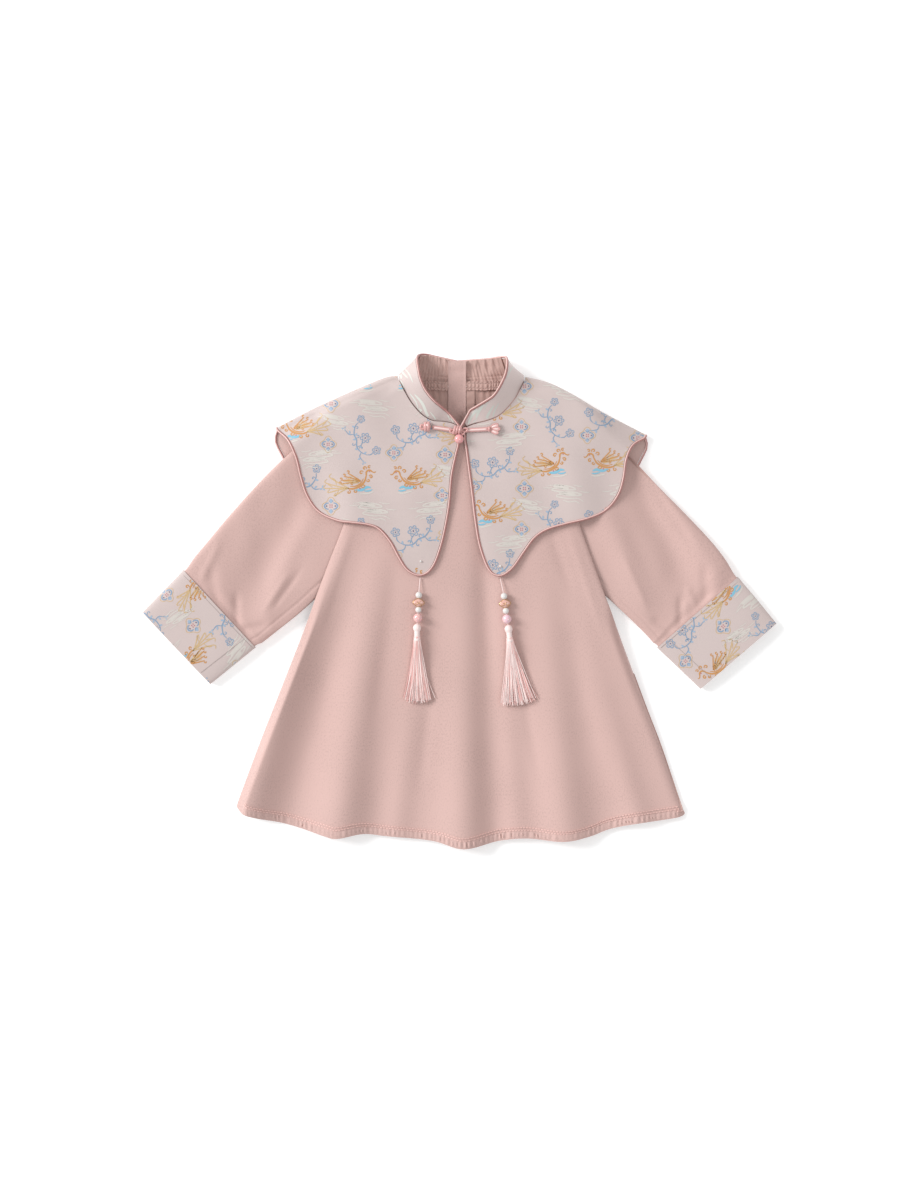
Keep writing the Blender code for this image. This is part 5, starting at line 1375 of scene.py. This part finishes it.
def bird():
    """A gold bird with swept wings, a long straw-coloured tail and a sky-blue ribbon."""
    gold, straw = "woven_gold", "woven_straw"
    lines = [stroke("woven_sky", 2.2, (-3, -6.4), (3, -7.2), (8, -5.6), (12, -6.6), ends=0.15),
             stroke("woven_sky", 1.2, (5, -8.6), (10, -9.2), (13, -8.4), ends=0.2)]
    for reach, rise in ((-7, 10.5), (-11, 8), (-14.5, 5), (-16, 1.6)):
        lines.append(stroke(gold, 0.95, (3.5, 0.5 + rise * 0.1), (reach * 0.35, rise * 0.62),
                            (reach, rise), ends=0.6))
        lines.append(stroke(straw, 0.8, (1.5, -0.6 + rise * 0.1), (reach * 0.4, rise * 0.42),
                            (reach * 0.86, rise * 0.72), ends=0.5))
        lines.append(curl(reach + 0.4, rise + 1.2, 1.4, -1.4, 0.8, gold, 0.9))
    lines += [stroke(gold, 1.5, (-9, -4), (-4, -4.8), (2, -3.4), (7, 0.2), (9.5, 5), ends=0.5),
              stroke(gold, 0.9, (-7, -2.2), (-2, -2.8), (3, -1), (6.6, 3)),
              stroke(gold, 1.3, (9.5, 5), (10.4, 8.6), (13.4, 9.6), (15.4, 7.8), ends=0.7),
              stroke(gold, 0.9, (15, 8), (17.4, 6.6), (18.8, 7.4), ends=0.4),
              curl(9.2, 12.0, 1.9, -0.6, 1.0, gold, 0.95), curl(5.6, 8.6, 1.9, 0.2, 1.0, gold, 0.95),
              curl(13.6, 12.4, 1.5, 0.6, 1.0, gold, 0.9), curl(13.4, 3.4, 1.8, 2.6, -1.1, gold, 0.95),
              curl(5.2, -3.8, 2.1, 2.4, 1.1, gold, 0.95), curl(-3.0, -7.2, 1.8, 0.8, -1.0, gold, 0.9),
              curl(10.6, 0.6, 1.6, 3.0, 1.0, gold, 0.9), curl(-9.0, -7.0, 1.8, 1.2, -1.0, gold, 0.9),
              curl(0.4, 2.6, 1.5, 0.4, 1.0, gold, 0.8), curl(-4.6, -0.2, 1.4, 1.0, 1.0, gold, 0.8),
              dot(13.2, 8.4, 0.7, "woven_red"), dot(1.8, -5.6, 0.8, "woven_red")]
    for rise, reach in ((9.6, -24), (5.4, -29), (0.6, -31), (-4.2, -28), (-8.4, -23)):
        lines.append(stroke(straw, 0.85, (-8, -3.6), (reach * 0.62, rise * 0.35 - 2), (reach, rise),
                            (reach + 2.2, rise + 3.0), ends=0.45))
    lines += [stroke(straw, 0.7, (-19, 1.2), (-19.5, 6), (-22, 8.6)),
              stroke(straw, 0.7, (-18, -4), (-22, -9)),
              stroke(straw, 0.7, (-23, 0), (-27, 3.4)),
              stroke("woven_white", 1.2, (0, -10.4), (8, -11.4), (14, -10.6))]
    return lines


def cloud():
    """A drifting cloud of white strokes that run back and forth."""
    white = "woven_white"
    return [stroke(white, 1.5, (-20, 7), (-8, 9.6), (6, 9), (12, 6.6), (2, 5.4), (-9, 5.8), (-14, 3.4),
                   (-2, 2.4), (10, 3.4), (19, 1.4), (8, -0.6), (-4, -0.4), (-8, -3), (4, -4), (15, -3),
                   (22, -5.6), ends=0.3),
            stroke(white, 3.2, (-13, 7.6), (-4, 7.8), (5, 7.2), ends=0.1),
            stroke(white, 2.8, (-6, 1.0), (5, 1.4), (13, 1.2), ends=0.1),
            stroke(white, 1.1, (-1, -6.4), (6, -7.6), (13, -6.2), (18, -8.4)),
            stroke(white, 0.9, (-24, 4.6), (-18, 5.2), (-13, 6)),
            stroke(white, 0.9, (16, 5.2), (23, 4.6), (28, 5.6)),
            stroke(white, 0.9, (8, 11.4), (15, 10.4), (20, 11.2))]


def gleam():
    """Long painted satin gleams: pale strokes of painted sheen in place of a cloud on the narrow collar."""
    silver = "woven_silver"
    return [stroke(silver, 2.6, (-24, 2), (-10, 4), (4, 2), (16, 3.4), ends=0.05),
            stroke(silver, 3.2, (-8, -2), (2, -1), (12, -3), ends=0.05),
            stroke(silver, 1.2, (-28, -2), (-16, -1), (-6, -3.6), ends=0.1),
            stroke(silver, 1.4, (2, 6.4), (12, 7.4), (24, 5.6), ends=0.1),
            stroke(silver, 1.0, (6, -6), (16, -5.4), (26, -7.4), ends=0.1)]


FIGURES = {"spray": spray, "medallion": medallion, "bird": bird, "cloud": cloud}
# One repeat of the brocade, which every second column shifts by half
PATTERN_WIDTH = 118.0
PATTERN_HEIGHT = 106.0
PATTERN = (
    Motif("spray", 26, 86, 14, 0.96, 1), Motif("bird", 84, 88, 10, 1.12, 1),
    Motif("medallion", 57, 64, 0, 0.92, 1),
    Motif("cloud", 98, 58, -6, 0.95, 1), Motif("spray", 88, 26, -58, 0.9, -1),
    Motif("bird", 22, 38, 6, 1.12, -1),
    Motif("medallion", 4, 66, 0, 0.85, 1), Motif("cloud", 46, 6, 6, 0.95, -1),
    Motif("cloud", 60, 44, -10, 0.8, 1), Motif("medallion", 54, 22, 0, 0.85, 1),
)
WEAVE_LIFT = 0.12
WEAVE_UNDER_LIFT = 0.04
WEAVE_STEP = 1.0
THREAD_BREADTH = 1.2


def figure_ribbons(motif, figures):
    """The two edges of each woven line of a figure, in the pattern's plan."""
    turn = math.radians(motif.turn)
    ribbons = []
    for line in figures[motif.figure]:
        knots = np.array(line.points, float)
        length = np.linalg.norm(np.diff(knots, axis=0), axis=1).sum() * motif.size
        parts = np.linspace(0, 1, max(4, int(length / WEAVE_STEP) + 2))
        middle = along(knots, parts)
        heading = np.gradient(middle, axis=0)
        heading /= np.maximum(np.linalg.norm(heading, axis=1, keepdims=True), 1e-9)
        full = line.ends + (1 - line.ends) * np.sin(math.pi * parts) ** 0.5
        reach = line.width / 2 * THREAD_BREADTH * full
        aside = np.stack([-heading[:, 1], heading[:, 0]], axis=-1) * reach[:, None]
        edges = np.stack([middle + aside, middle - aside]) * motif.size * (motif.flip, 1.0)
        ribbons.append((line.colour, np.stack(turned_in_plan(edges, turn), axis=-1) + (motif.x, motif.y)))
    return ribbons


def weave(name, ground, middle, turn, reach, figures, upward=False, kinds=None):
    """The brocade's figures laid on one cloth, seen from above or, upward, from below."""
    mesh = ground.data
    tree = surface_tree(mesh)
    heading = Vector((0, 0, 1.0 if upward else -1.0))
    start = -1.0 if upward else 1.0
    lift = -WEAVE_UNDER_LIFT if upward else WEAVE_LIFT
    low = np.array([min(corner[axis] for corner in ground.bound_box) for axis in (0, 1)]) / MM - 4
    high = np.array([max(corner[axis] for corner in ground.bound_box) for axis in (0, 1)]) / MM + 4
    cosine, sine = math.cos(math.radians(turn)), math.sin(math.radians(turn))
    places = []
    faces = []
    slots = []
    columns = int(reach / PATTERN_WIDTH) + 1
    for column in range(-columns, columns + 1):
        shift = PATTERN_HEIGHT / 2 if column % 2 else 0.0
        for row in range(-columns - 1, columns + 1):
            corner = np.array((column * PATTERN_WIDTH, row * PATTERN_HEIGHT + shift))
            for motif in PATTERN:
                if kinds and motif.figure not in kinds:
                    continue
                centre = corner + (motif.x, motif.y)
                spot = (centre[0] * cosine - centre[1] * sine + middle[0],
                        centre[0] * sine + centre[1] * cosine + middle[1])
                if not all(low - 26 < spot) or not all(spot < high + 26):
                    continue
                for colour, edges in figure_ribbons(motif, figures):
                    laid = edges + corner
                    laid = np.stack([laid[..., 0] * cosine - laid[..., 1] * sine + middle[0],
                                     laid[..., 0] * sine + laid[..., 1] * cosine + middle[1]], axis=-1)
                    first = len(places)
                    hits = []
                    for x, y in laid.reshape(-1, 2):
                        spot, _, index, _ = tree.ray_cast(Vector((x * MM, y * MM, start)), heading)
                        good = spot is not None and mesh.polygons[index].material_index == 0
                        hits.append(good)
                        places.append((x * MM, y * MM, (spot.z if good else 0.0) + lift * MM))
                    count = laid.shape[1]
                    for step in range(count - 1):
                        corners = (step, step + 1, count + step + 1, count + step)
                        if all(hits[corner_index] for corner_index in corners):
                            faces.append([first + corner_index for corner_index in corners])
                            slots.append(WOVEN.index(colour))
    used = sorted({corner for face in faces for corner in face})
    place_of = {corner: index for index, corner in enumerate(used)}
    woven = bpy.data.meshes.new(name)
    woven.from_pydata([places[corner] for corner in used], [],
                      [[place_of[corner] for corner in face] for face in faces])
    woven.polygons.foreach_set("material_index", np.array(slots, dtype=np.int32))
    for polygon in woven.polygons:
        if (polygon.normal.z > 0) == upward:
            polygon.flip()
    return finish_object(name, woven, [finish(colour) for colour in WOVEN])


class DRESS_OT_brocade(bpy.types.Operator):
    """Weave the brocade's figures on the cape, collar and cuffs"""

    bl_idname = "dress.brocade"
    bl_label = "Brocade figures"

    def execute(self, context):
        figures = {name: make() for name, make in FIGURES.items()}
        pieces = bpy.data.objects
        for side, middle in (("left", (-190, 34)), ("right", (10, 52))):
            ground = pieces["cape_cloth_" + side]
            above = weave("cape_weave_" + side, ground, middle, 0, 360, figures)
            below = weave("cape_weave_under_" + side, ground, middle, 0, 360, figures, upward=True)
            ground = pieces["collar_cloth_" + side]
            # On the collar every figure is drawn as gleam strokes: painted sheen on the satin.
            above = weave("collar_weave_" + side, ground, (4, 8), 62 if side == "right" else -58, 420,
                          {name: gleam() for name in FIGURES}, kinds=("cloud", "medallion", "bird"))
        for side, middle, turn in (("left", (-281, 60), -135), ("right", (278, -112), 45)):
            ground = pieces["cuff_cloth_" + side]
            above = weave("cuff_weave_" + side, ground, middle, turn, 130, figures)
            below = weave("cuff_weave_under_" + side, ground, middle, turn, 130, figures, upward=True)
        return {"FINISHED"}


# The frog

def flap_at(x, y):
    """The cape's upper face at one place."""
    return float(flap_height(np.array(float(x)), np.array(float(y))))


def ball(centre, sizes, around=28, up=16):
    """Places and faces of a round body."""
    places = [np.array(centre) + (0, 0, -sizes[2])]
    for level in range(1, up):
        polar = math.pi * level / up
        for step in range(around):
            turn = 2 * math.pi * step / around
            places.append(np.array(centre) + (sizes[0] * math.sin(polar) * math.cos(turn),
                                              sizes[1] * math.sin(polar) * math.sin(turn),
                                              -sizes[2] * math.cos(polar)))
    places.append(np.array(centre) + (0, 0, sizes[2]))
    faces = []
    last = 1 + (up - 2) * around
    for step in range(around):
        after = (step + 1) % around
        faces.append([0, 1 + after, 1 + step])
        for level in range(up - 2):
            a, b = 1 + level * around + step, 1 + level * around + after
            faces.append([a, b, b + around, a + around])
        faces.append([last + step, last + after, len(places) - 1])
    return np.array(places), faces


def loop_path(x, y, turn, length, width, base, rise):
    """A drop-shaped loop of cord that lies on the cloth."""
    spots = []
    for step in range(17):
        angle = 2 * math.pi * step / 16
        ahead = length * (1 - math.cos(angle)) / 2
        aside = width / 2 * math.sin(angle) * math.sin(angle / 2)
        spots.append((x + ahead * math.cos(turn) - aside * math.sin(turn),
                      y + ahead * math.sin(turn) + aside * math.cos(turn),
                      base + rise * math.sin(angle / 2)))
    return spots


def wrap_over(x, y, lean, reach, base, height, radius):
    """A short turn of cord over a knot, from its lower side to its upper side."""
    path = []
    for step in range(13):
        angle = math.pi * step / 12
        path.append((x - lean * math.cos(angle) / 2, y - reach * math.cos(angle),
                     base + 0.4 + (height - 0.4) * math.sin(angle) ** 0.8))
    return tube_parts(path, radius, 10, ends=0.5)


class DRESS_OT_frog(bpy.types.Operator):
    """Make the knotted frog fastening"""

    bl_idname = "dress.frog"
    bl_label = "Frog"

    def execute(self, context):
        satin = finish("frog_satin")
        cord = FROG_CORD_RADIUS
        knots = FROG_END_KNOT
        base = flap_at(knots.x, knots.y) + FROG_LIFT
        parts = [(*ball((knots.x + 0.8, knots.y, base + 2.4), (4.0, 3.6, 2.3), 20, 10), 0)]
        for shift, lean in ((-0.7, -0.2), (2.1, 0.3)):
            parts.append((*wrap_over(knots.x + shift, knots.y, lean, 3.6, base, 4.0, cord * 1.65), 0))
        # The small pale ball on top of the knot is a painted highlight.
        parts.append((*ball((knots.x + 0.6, knots.y + 1.2, base + 4.9), (2.6, 1.3, 1.0), 14, 8), 1))
        path = loop_path(knots.x - 1.4, knots.y - 0.4, math.pi, 4.6, 5.8, base + cord, 0.8)
        parts.append((*tube_parts(path, cord, 8), 0))
        piece = joined("frog_end_flower", parts, [satin, finish("frog_highlight")])
        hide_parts("frog_end_knot")
        for side, spots in (("left", FROG_BAR_LEFT), ("right", FROG_BAR_RIGHT)):
            places = along(spots, np.linspace(0, 1, 26))
            parts = []
            for shift in (-1.0, 1.0):
                route = [(x, y + shift * cord * 0.8, flap_at(x, y) + FROG_LIFT + cord) for x, y in places]
                parts.append((*tube_parts(route, cord, 10, ends=0.8), 0))
            # The pale strand along the top of each bar is a painted highlight on the satin cords.
            route = [(x, y, flap_at(x, y) + FROG_LIFT + cord * 1.55) for x, y in places[2:-2]]
            parts.append((*tube_parts(route, cord * 0.8, 10, ends=0.3), 1))
            piece = joined("frog_cord_" + side, parts, [satin, finish("frog_highlight")])
            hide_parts("frog_bar_" + side)
        centre = FROG_CENTRE_KNOT
        base = flap_at(centre.x, centre.y) + FROG_LIFT
        parts = [(*ball((centre.x - 0.4, centre.y, base + 2.7), (4.8, 3.0, 2.7), 20, 10), 0)]
        for shift, lean in ((-3.6, 2.4), (-1.0, 2.6), (1.8, 2.2)):
            parts.append((*wrap_over(centre.x + shift, centre.y, lean, 3.7, base, 5.2, cord * 1.2), 0))
        for x, turn, long, wide in ((2.8, 6, 7.0, 4.6), (-4.2, 196, 4.2, 4.2), (3.4, -58, 4.6, 3.6)):
            path = loop_path(centre.x + x, centre.y - 0.4, math.radians(turn), long, wide, base + cord, 1.6)
            parts.append((*tube_parts(path, cord * 0.85, 8), 0))
        piece = joined("frog_button_loops", parts, [satin])
        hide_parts("frog_button_knot")
        round_ball = FROG_BALL
        middle = flap_at(round_ball.x, round_ball.y) + FROG_LIFT - FROG_BALL_SINK + round_ball.high / 2
        parts = [(*ball((round_ball.x, round_ball.y, middle),
                        (round_ball.long / 2, round_ball.wide / 2, round_ball.high / 2)), 0)]
        piece = joined("frog_coral_ball", parts, [finish("coral_bead")])
        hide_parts("frog_ball")
        parts = []
        hub = FROG_FAN_HUB
        base = flap_at(hub.x, hub.y) + FROG_LIFT
        for turn, long in ((26, 10.6), (0, 11.4), (-26, 10.6)):
            lean = math.radians(turn)
            path = loop_path(hub.x - 3.6, hub.y, lean, long, 5.2, base + cord, 1.2)
            parts.append((*tube_parts(path, cord * 0.62, 8), 0))
            # The pale body inside each petal loop is a painted highlight.
            places, faces = ball((long * 0.60, 0, base + cord * 1.3), (long * 0.36, 1.7, 1.3), 16, 10)
            across, up = turned_in_plan(places, lean)
            turned = np.column_stack([across + hub.x - 3.6, up + hub.y, places[:, 2]])
            parts.append((turned, faces, 1))
        parts.append((*wrap_over(hub.x - 3.2, hub.y, 0.3, 2.2, base, 3.4, cord * 0.9), 0))
        piece = joined("frog_fan", parts, [satin, finish("frog_highlight")])
        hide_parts("frog_petal_1", "frog_petal_2", "frog_petal_3")
        return {"FINISHED"}


# The pendants

def skirt_at(x, y):
    """The front's upper face at one place."""
    return float(front_height(np.array(float(x)), np.array(float(y))))


BEAD_BORE = THREAD_RADIUS + 0.25


def thread_axes(heading):
    """The directions along a thread, aside from it and up from it."""
    forward = heading / np.linalg.norm(heading)
    aside = np.cross((0.0, 0.0, 1.0), forward)
    aside /= np.linalg.norm(aside)
    return forward, aside, np.cross(forward, aside)


def turned_bead(bead, centre, heading, around=24, levels=14):
    """Places and faces of a bead turned about its thread."""
    forward, aside, lift = thread_axes(heading)
    profile = [(-math.cos(math.pi * (0.07 + 0.86 * level / levels)) * bead.height / 2,
                math.sin(math.pi * (0.07 + 0.86 * level / levels))) for level in range(levels + 1)]
    profile += [(profile[-1][0], 0.0), (profile[0][0], 0.0)]
    turn = 2 * math.pi * np.arange(around) / around
    rings = []
    for distance, reach in profile:
        wide = max(BEAD_BORE, reach * bead.diameter / 2)
        deep = max(BEAD_BORE, reach * bead.thickness / 2)
        rings.append(centre + forward * distance + aside * np.cos(turn)[:, None] * wide
                     + lift * np.sin(turn)[:, None] * deep)
    rings.append(rings[0])
    faces = grid_faces(len(rings), around, closed=True)
    count = (len(rings) - 1) * around
    faces = np.where(faces >= count, faces - count, faces)
    return np.concatenate(rings[:-1]), faces.tolist()


class DRESS_OT_pendants(bpy.types.Operator):
    """Make the threads, beads and tassels of the two pendants"""

    bl_idname = "dress.pendants"
    bl_label = "Pendants"

    def execute(self, context):
        for pendant in (PENDANT_LEFT, PENDANT_RIGHT):
            self.make_pendant(context, pendant)
        parts = [(*ball((x, y, flap_at(x, y) + 0.7), (1.1, 1.1, 0.9), 12, 6), 0) for x, y in FLAP_PEARLS]
        joined("flap_pearls", parts, [finish("pearl")])
        return {"FINISHED"}

    def make_pendant(self, context, pendant):
        """One pendant: its beads, its tassel and the cord that they hang on."""
        prefix = "pendant_%s_" % pendant.side
        centres = [np.array((bead.x, bead.y, skirt_at(bead.x, bead.y) + bead.lift)) for bead in pendant.beads]
        head_z = skirt_at(pendant.head_x, pendant.head_y) + TASSEL_HEAD_LIFT
        head = np.array((pendant.head_x, pendant.head_y, head_z))
        start = np.array((pendant.start_x, pendant.start_y,
                          skirt_at(pendant.start_x, pendant.start_y) + THREAD_START_LIFT))
        end = np.array((pendant.end_x, pendant.end_y, 0.0))
        forward = (end - head) * (1.0, 1.0, 0.0)
        forward /= np.linalg.norm(forward)
        stops = [start] + centres + [head]
        for index, (bead, centre) in enumerate(zip(pendant.beads, centres)):
            name = bead.name
            material = {"pearl_upper": "pearl", "pearl_lower": "pearl", "cloud_bead": "coral_bead"}.get(
                name, "coral_bead" if pendant.side == "left" else "lilac_bead")
            heading = stops[index + 2] - stops[index]
            parts = [(*turned_bead(bead, centre, heading), 0)]
            finishes = [finish("rose_bead" if material == "coral_bead" else material)]
            if name == "cloud_bead":
                parts = self.cloud_parts(bead, centre, heading)
                finishes = [finish("cloud_enamel"), finish("gilt")]
            piece = joined(prefix + name + "_turned", parts, finishes)
            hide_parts(prefix + name)
        self.make_tassel(context, pendant, prefix, head, forward, end)
        inside = head + forward * THREAD_IN_TASSEL
        inside[2] = skirt_at(inside[0], inside[1]) + TASSEL_HEAD_LIFT * 0.8
        route = along(stops + [inside], np.linspace(0, 1, 40))
        curve = bpy.data.curves.new(prefix + "cord", "CURVE")
        curve.dimensions = "3D"
        curve.bevel_depth = THREAD_RADIUS * MM
        curve.bevel_resolution = 2
        curve.use_fill_caps = True
        spline = curve.splines.new("POLY")
        spline.points.add(len(route) - 1)
        for point, place in zip(spline.points, in_metres(route)):
            point.co = (*place, 1.0)
        curve.materials.append(finish("thread_pink"))
        cord = bpy.data.objects.new(prefix + "cord", curve)
        context.collection.objects.link(cord)
        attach(cord, "root")
        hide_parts(prefix + "thread")

    def cloud_parts(self, bead, centre, heading):
        """The cloud bead's body, gilt rim and gilt curls."""
        forward, aside, lift = thread_axes(heading)
        half_wide, half_high, half_deep = bead.diameter / 2, bead.height / 2, bead.thickness / 2
        edge = []
        for step in range(25):
            turn = 2 * math.pi * step / 24
            point = abs(math.cos(turn)) ** 1.6 * math.copysign(1, math.cos(turn))
            edge.append((half_wide * point, half_high * math.sin(turn) * (1 - 0.12 * math.cos(2 * turn))))
        rings = []
        for share, level in ((0.74, 1.0), (0.92, 0.72), (1.0, 0.3), (1.0, -0.3), (0.92, -0.72), (0.74, -1.0)):
            rings.append([centre + aside * across * share + forward * ahead * share + lift * half_deep * level
                          for across, ahead in edge[:-1]])
        parts = [(np.concatenate([np.array(ring) for ring in rings]), capped_faces(len(rings), 24), 0)]
        rim = [centre + aside * across + forward * ahead + lift * half_deep * 0.3 for across, ahead in edge]
        parts.append((*tube_parts(rim, 0.6, 6), 1))
        for side in (-1, 1):
            scroll = []
            for step in range(15):
                turn = 0.6 + 4.6 * step / 14
                reach = 1.9 * (1 - 0.6 * step / 14)
                scroll.append(centre + aside * side * (1.9 + reach * math.cos(turn))
                              + forward * (0.1 + reach * math.sin(turn)) + lift * (half_deep + 0.12))
            parts.append((*tube_parts(scroll, 0.28, 6), 1))
        return parts

    def make_tassel(self, context, pendant, prefix, head, forward, end):
        """A tassel's knotted and bound head, and its strands, which fall in tufts."""
        aside = np.array((-forward[1], forward[0], 0.0))
        lift = np.array((0.0, 0.0, 1.0))
        length = float(np.dot(end - head, forward))
        turn = 2 * math.pi * np.arange(TASSEL_HEAD_SIDES) / TASSEL_HEAD_SIDES
        across = aside * np.cos(turn)[:, None] + lift * np.sin(turn)[:, None]
        rings = [head + forward * distance + across * radius
                 for distance, radius in TASSEL_PROFILE]
        parts = [(np.concatenate(rings), capped_faces(len(rings), TASSEL_HEAD_SIDES), 0)]
        chance = random.Random(pendant.side)
        strands = context.scene.dress_sizes.strands
        # About two tufts in five take the darker copy of the silk: painted shade among the strands.
        tufts = [(chance.uniform(-1.6, 1.6), chance.uniform(0.0, 5.0), chance.random() < 0.4)
                 for tuft in range(TUFTS)]
        for strand in range(strands):
            bend, short, in_painted_shade = tufts[strand % TUFTS]
            ring = math.sqrt((strand + 0.5) / strands)
            angle = strand * GOLDEN_TURN
            place, layer = TASSEL_BUNDLE * ring * math.cos(angle), TASSEL_BUNDLE * ring * math.sin(angle)
            wide = pendant.spread / 2 / TASSEL_BUNDLE * chance.uniform(0.82, 1.02)
            reach = (length - TASSEL_THROAT - 3.0 * abs(place / TASSEL_BUNDLE) ** 2 - short
                     - chance.uniform(0.0, 1.6))
            sway = chance.uniform(-1.0, 1.0)
            if strand >= strands - len(STRAYS):
                bend = STRAYS[strand - strands]
                sway = -0.3 * bend
            path = []
            for part in np.linspace(0, 1, STRAND_POINTS):
                out = 1.0 + (wide - 1.0) * part ** 1.35
                spot = head + forward * (TASSEL_THROAT + reach * part) + aside * (
                    place * out + sway * math.sin(math.pi * part) + bend * part)
                rest = skirt_at(spot[0], spot[1]) + 2.6
                settle = float(smooth(0.0, 0.6, part))
                spot[2] = head[2] * (1 - settle) + rest * settle + layer * (1.0 - 0.45 * settle)
                path.append(spot)
            sizes = STRAND_RADIUS * (1.15 - 0.35 * np.linspace(0, 1, STRAND_POINTS))
            parts.append((*tube_parts(path, sizes, 4), int(in_painted_shade if chance.random() < 0.8 else not in_painted_shade)))
        piece = joined(prefix + "tassel_silk", parts, [finish("tassel_silk"), finish("tassel_shade")])
        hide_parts(prefix + "tassel")
        return piece


# The stage

CAMERA_LENS = 85.0
VIEW_HEIGHT = 1.248
VIEW_CENTRE = (-0.0099, 0.0009)
WORLD_LIGHT = 0.56
KEY_FROM = (-2.2, 0.9, 1.35)
KEY_STRENGTH = 2.75
FILL_FROM = (1.0, -0.6, 2.6)
FILL_STRENGTH = 0.45
SOFT_LIGHT_ANGLE = 24.0
SENSOR_WIDTH = 36.0
FLOOR_REACH = 4
FLOOR_DEPTH = -0.0006


class DRESS_OT_stage(bpy.types.Operator):
    """Make the floor, the lights and the camera"""

    bl_idname = "dress.stage"
    bl_label = "Stage"

    def execute(self, context):
        scene = context.scene
        scene.view_settings.view_transform = "Standard"
        mesh = bpy.data.meshes.new("floor")
        corners = [(x * FLOOR_REACH, y * FLOOR_REACH, FLOOR_DEPTH)
                   for x, y in ((-1, -1), (1, -1), (1, 1), (-1, 1))]
        mesh.from_pydata(corners, [], [(0, 1, 2, 3)])
        floor = bpy.data.objects.new("floor", mesh)
        context.collection.objects.link(floor)
        mesh.materials.append(new_finish("floor_white", (0.82, 0.82, 0.82), 0.9, Emission_Strength=0.34,
                                         Emission_Color=(1.0, 1.0, 1.0, 1.0)))
        world = bpy.data.worlds.new("studio")
        world.use_nodes = True
        world.node_tree.nodes["Background"].inputs[0].default_value = (1.0, 1.0, 1.0, 1.0)
        world.node_tree.nodes["Background"].inputs[1].default_value = WORLD_LIGHT
        scene.world = world
        for name, place, strength in (("key", KEY_FROM, KEY_STRENGTH), ("fill", FILL_FROM, FILL_STRENGTH)):
            light = bpy.data.lights.new(name, "SUN")
            light.angle = math.radians(SOFT_LIGHT_ANGLE)
            light.energy = strength
            lamp = bpy.data.objects.new(name, light)
            lamp.location = place
            lamp.rotation_euler = (-Vector(place)).to_track_quat("-Z", "Y").to_euler()
            context.collection.objects.link(lamp)
        camera = bpy.data.cameras.new("camera")
        camera.lens = CAMERA_LENS
        camera.sensor_width = SENSOR_WIDTH
        eye = bpy.data.objects.new("camera", camera)
        eye.location = (*VIEW_CENTRE, VIEW_HEIGHT * CAMERA_LENS / SENSOR_WIDTH)
        context.collection.objects.link(eye)
        scene.camera = eye
        return {"FINISHED"}


class DRESS_PT_panel(bpy.types.Panel):
    """The dress's pieces in the sidebar"""

    bl_label = "Dress"
    bl_idname = "DRESS_PT_panel"
    bl_space_type = "VIEW_3D"
    bl_region_type = "UI"
    bl_category = "Dress"

    def draw(self, context):
        for operator in OPERATORS:
            self.layout.operator(operator.bl_idname)


OPERATORS = (
    DRESS_OT_stage, DRESS_OT_pendants, DRESS_OT_front, DRESS_OT_back, DRESS_OT_sleeves, DRESS_OT_cape,
    DRESS_OT_collar, DRESS_OT_brocade, DRESS_OT_frog,
)
CLASSES = (DressColours, DressSizes) + OPERATORS + (DRESS_PT_panel,)


def register():
    """Register the classes and the dress's settings."""
    for item in CLASSES:
        bpy.utils.register_class(item)
    bpy.types.Scene.dress_colours = bpy.props.PointerProperty(type=DressColours)
    bpy.types.Scene.dress_sizes = bpy.props.PointerProperty(type=DressSizes)


def unregister():
    """Take the classes and settings away again."""
    del bpy.types.Scene.dress_sizes
    del bpy.types.Scene.dress_colours
    for item in reversed(CLASSES):
        bpy.utils.unregister_class(item)


def main():
    """Make every piece."""
    register()
    for operator in OPERATORS:
        group, name = operator.bl_idname.split(".")
        getattr(getattr(bpy.ops, group), name)()


if __name__ == "__main__":
    main()
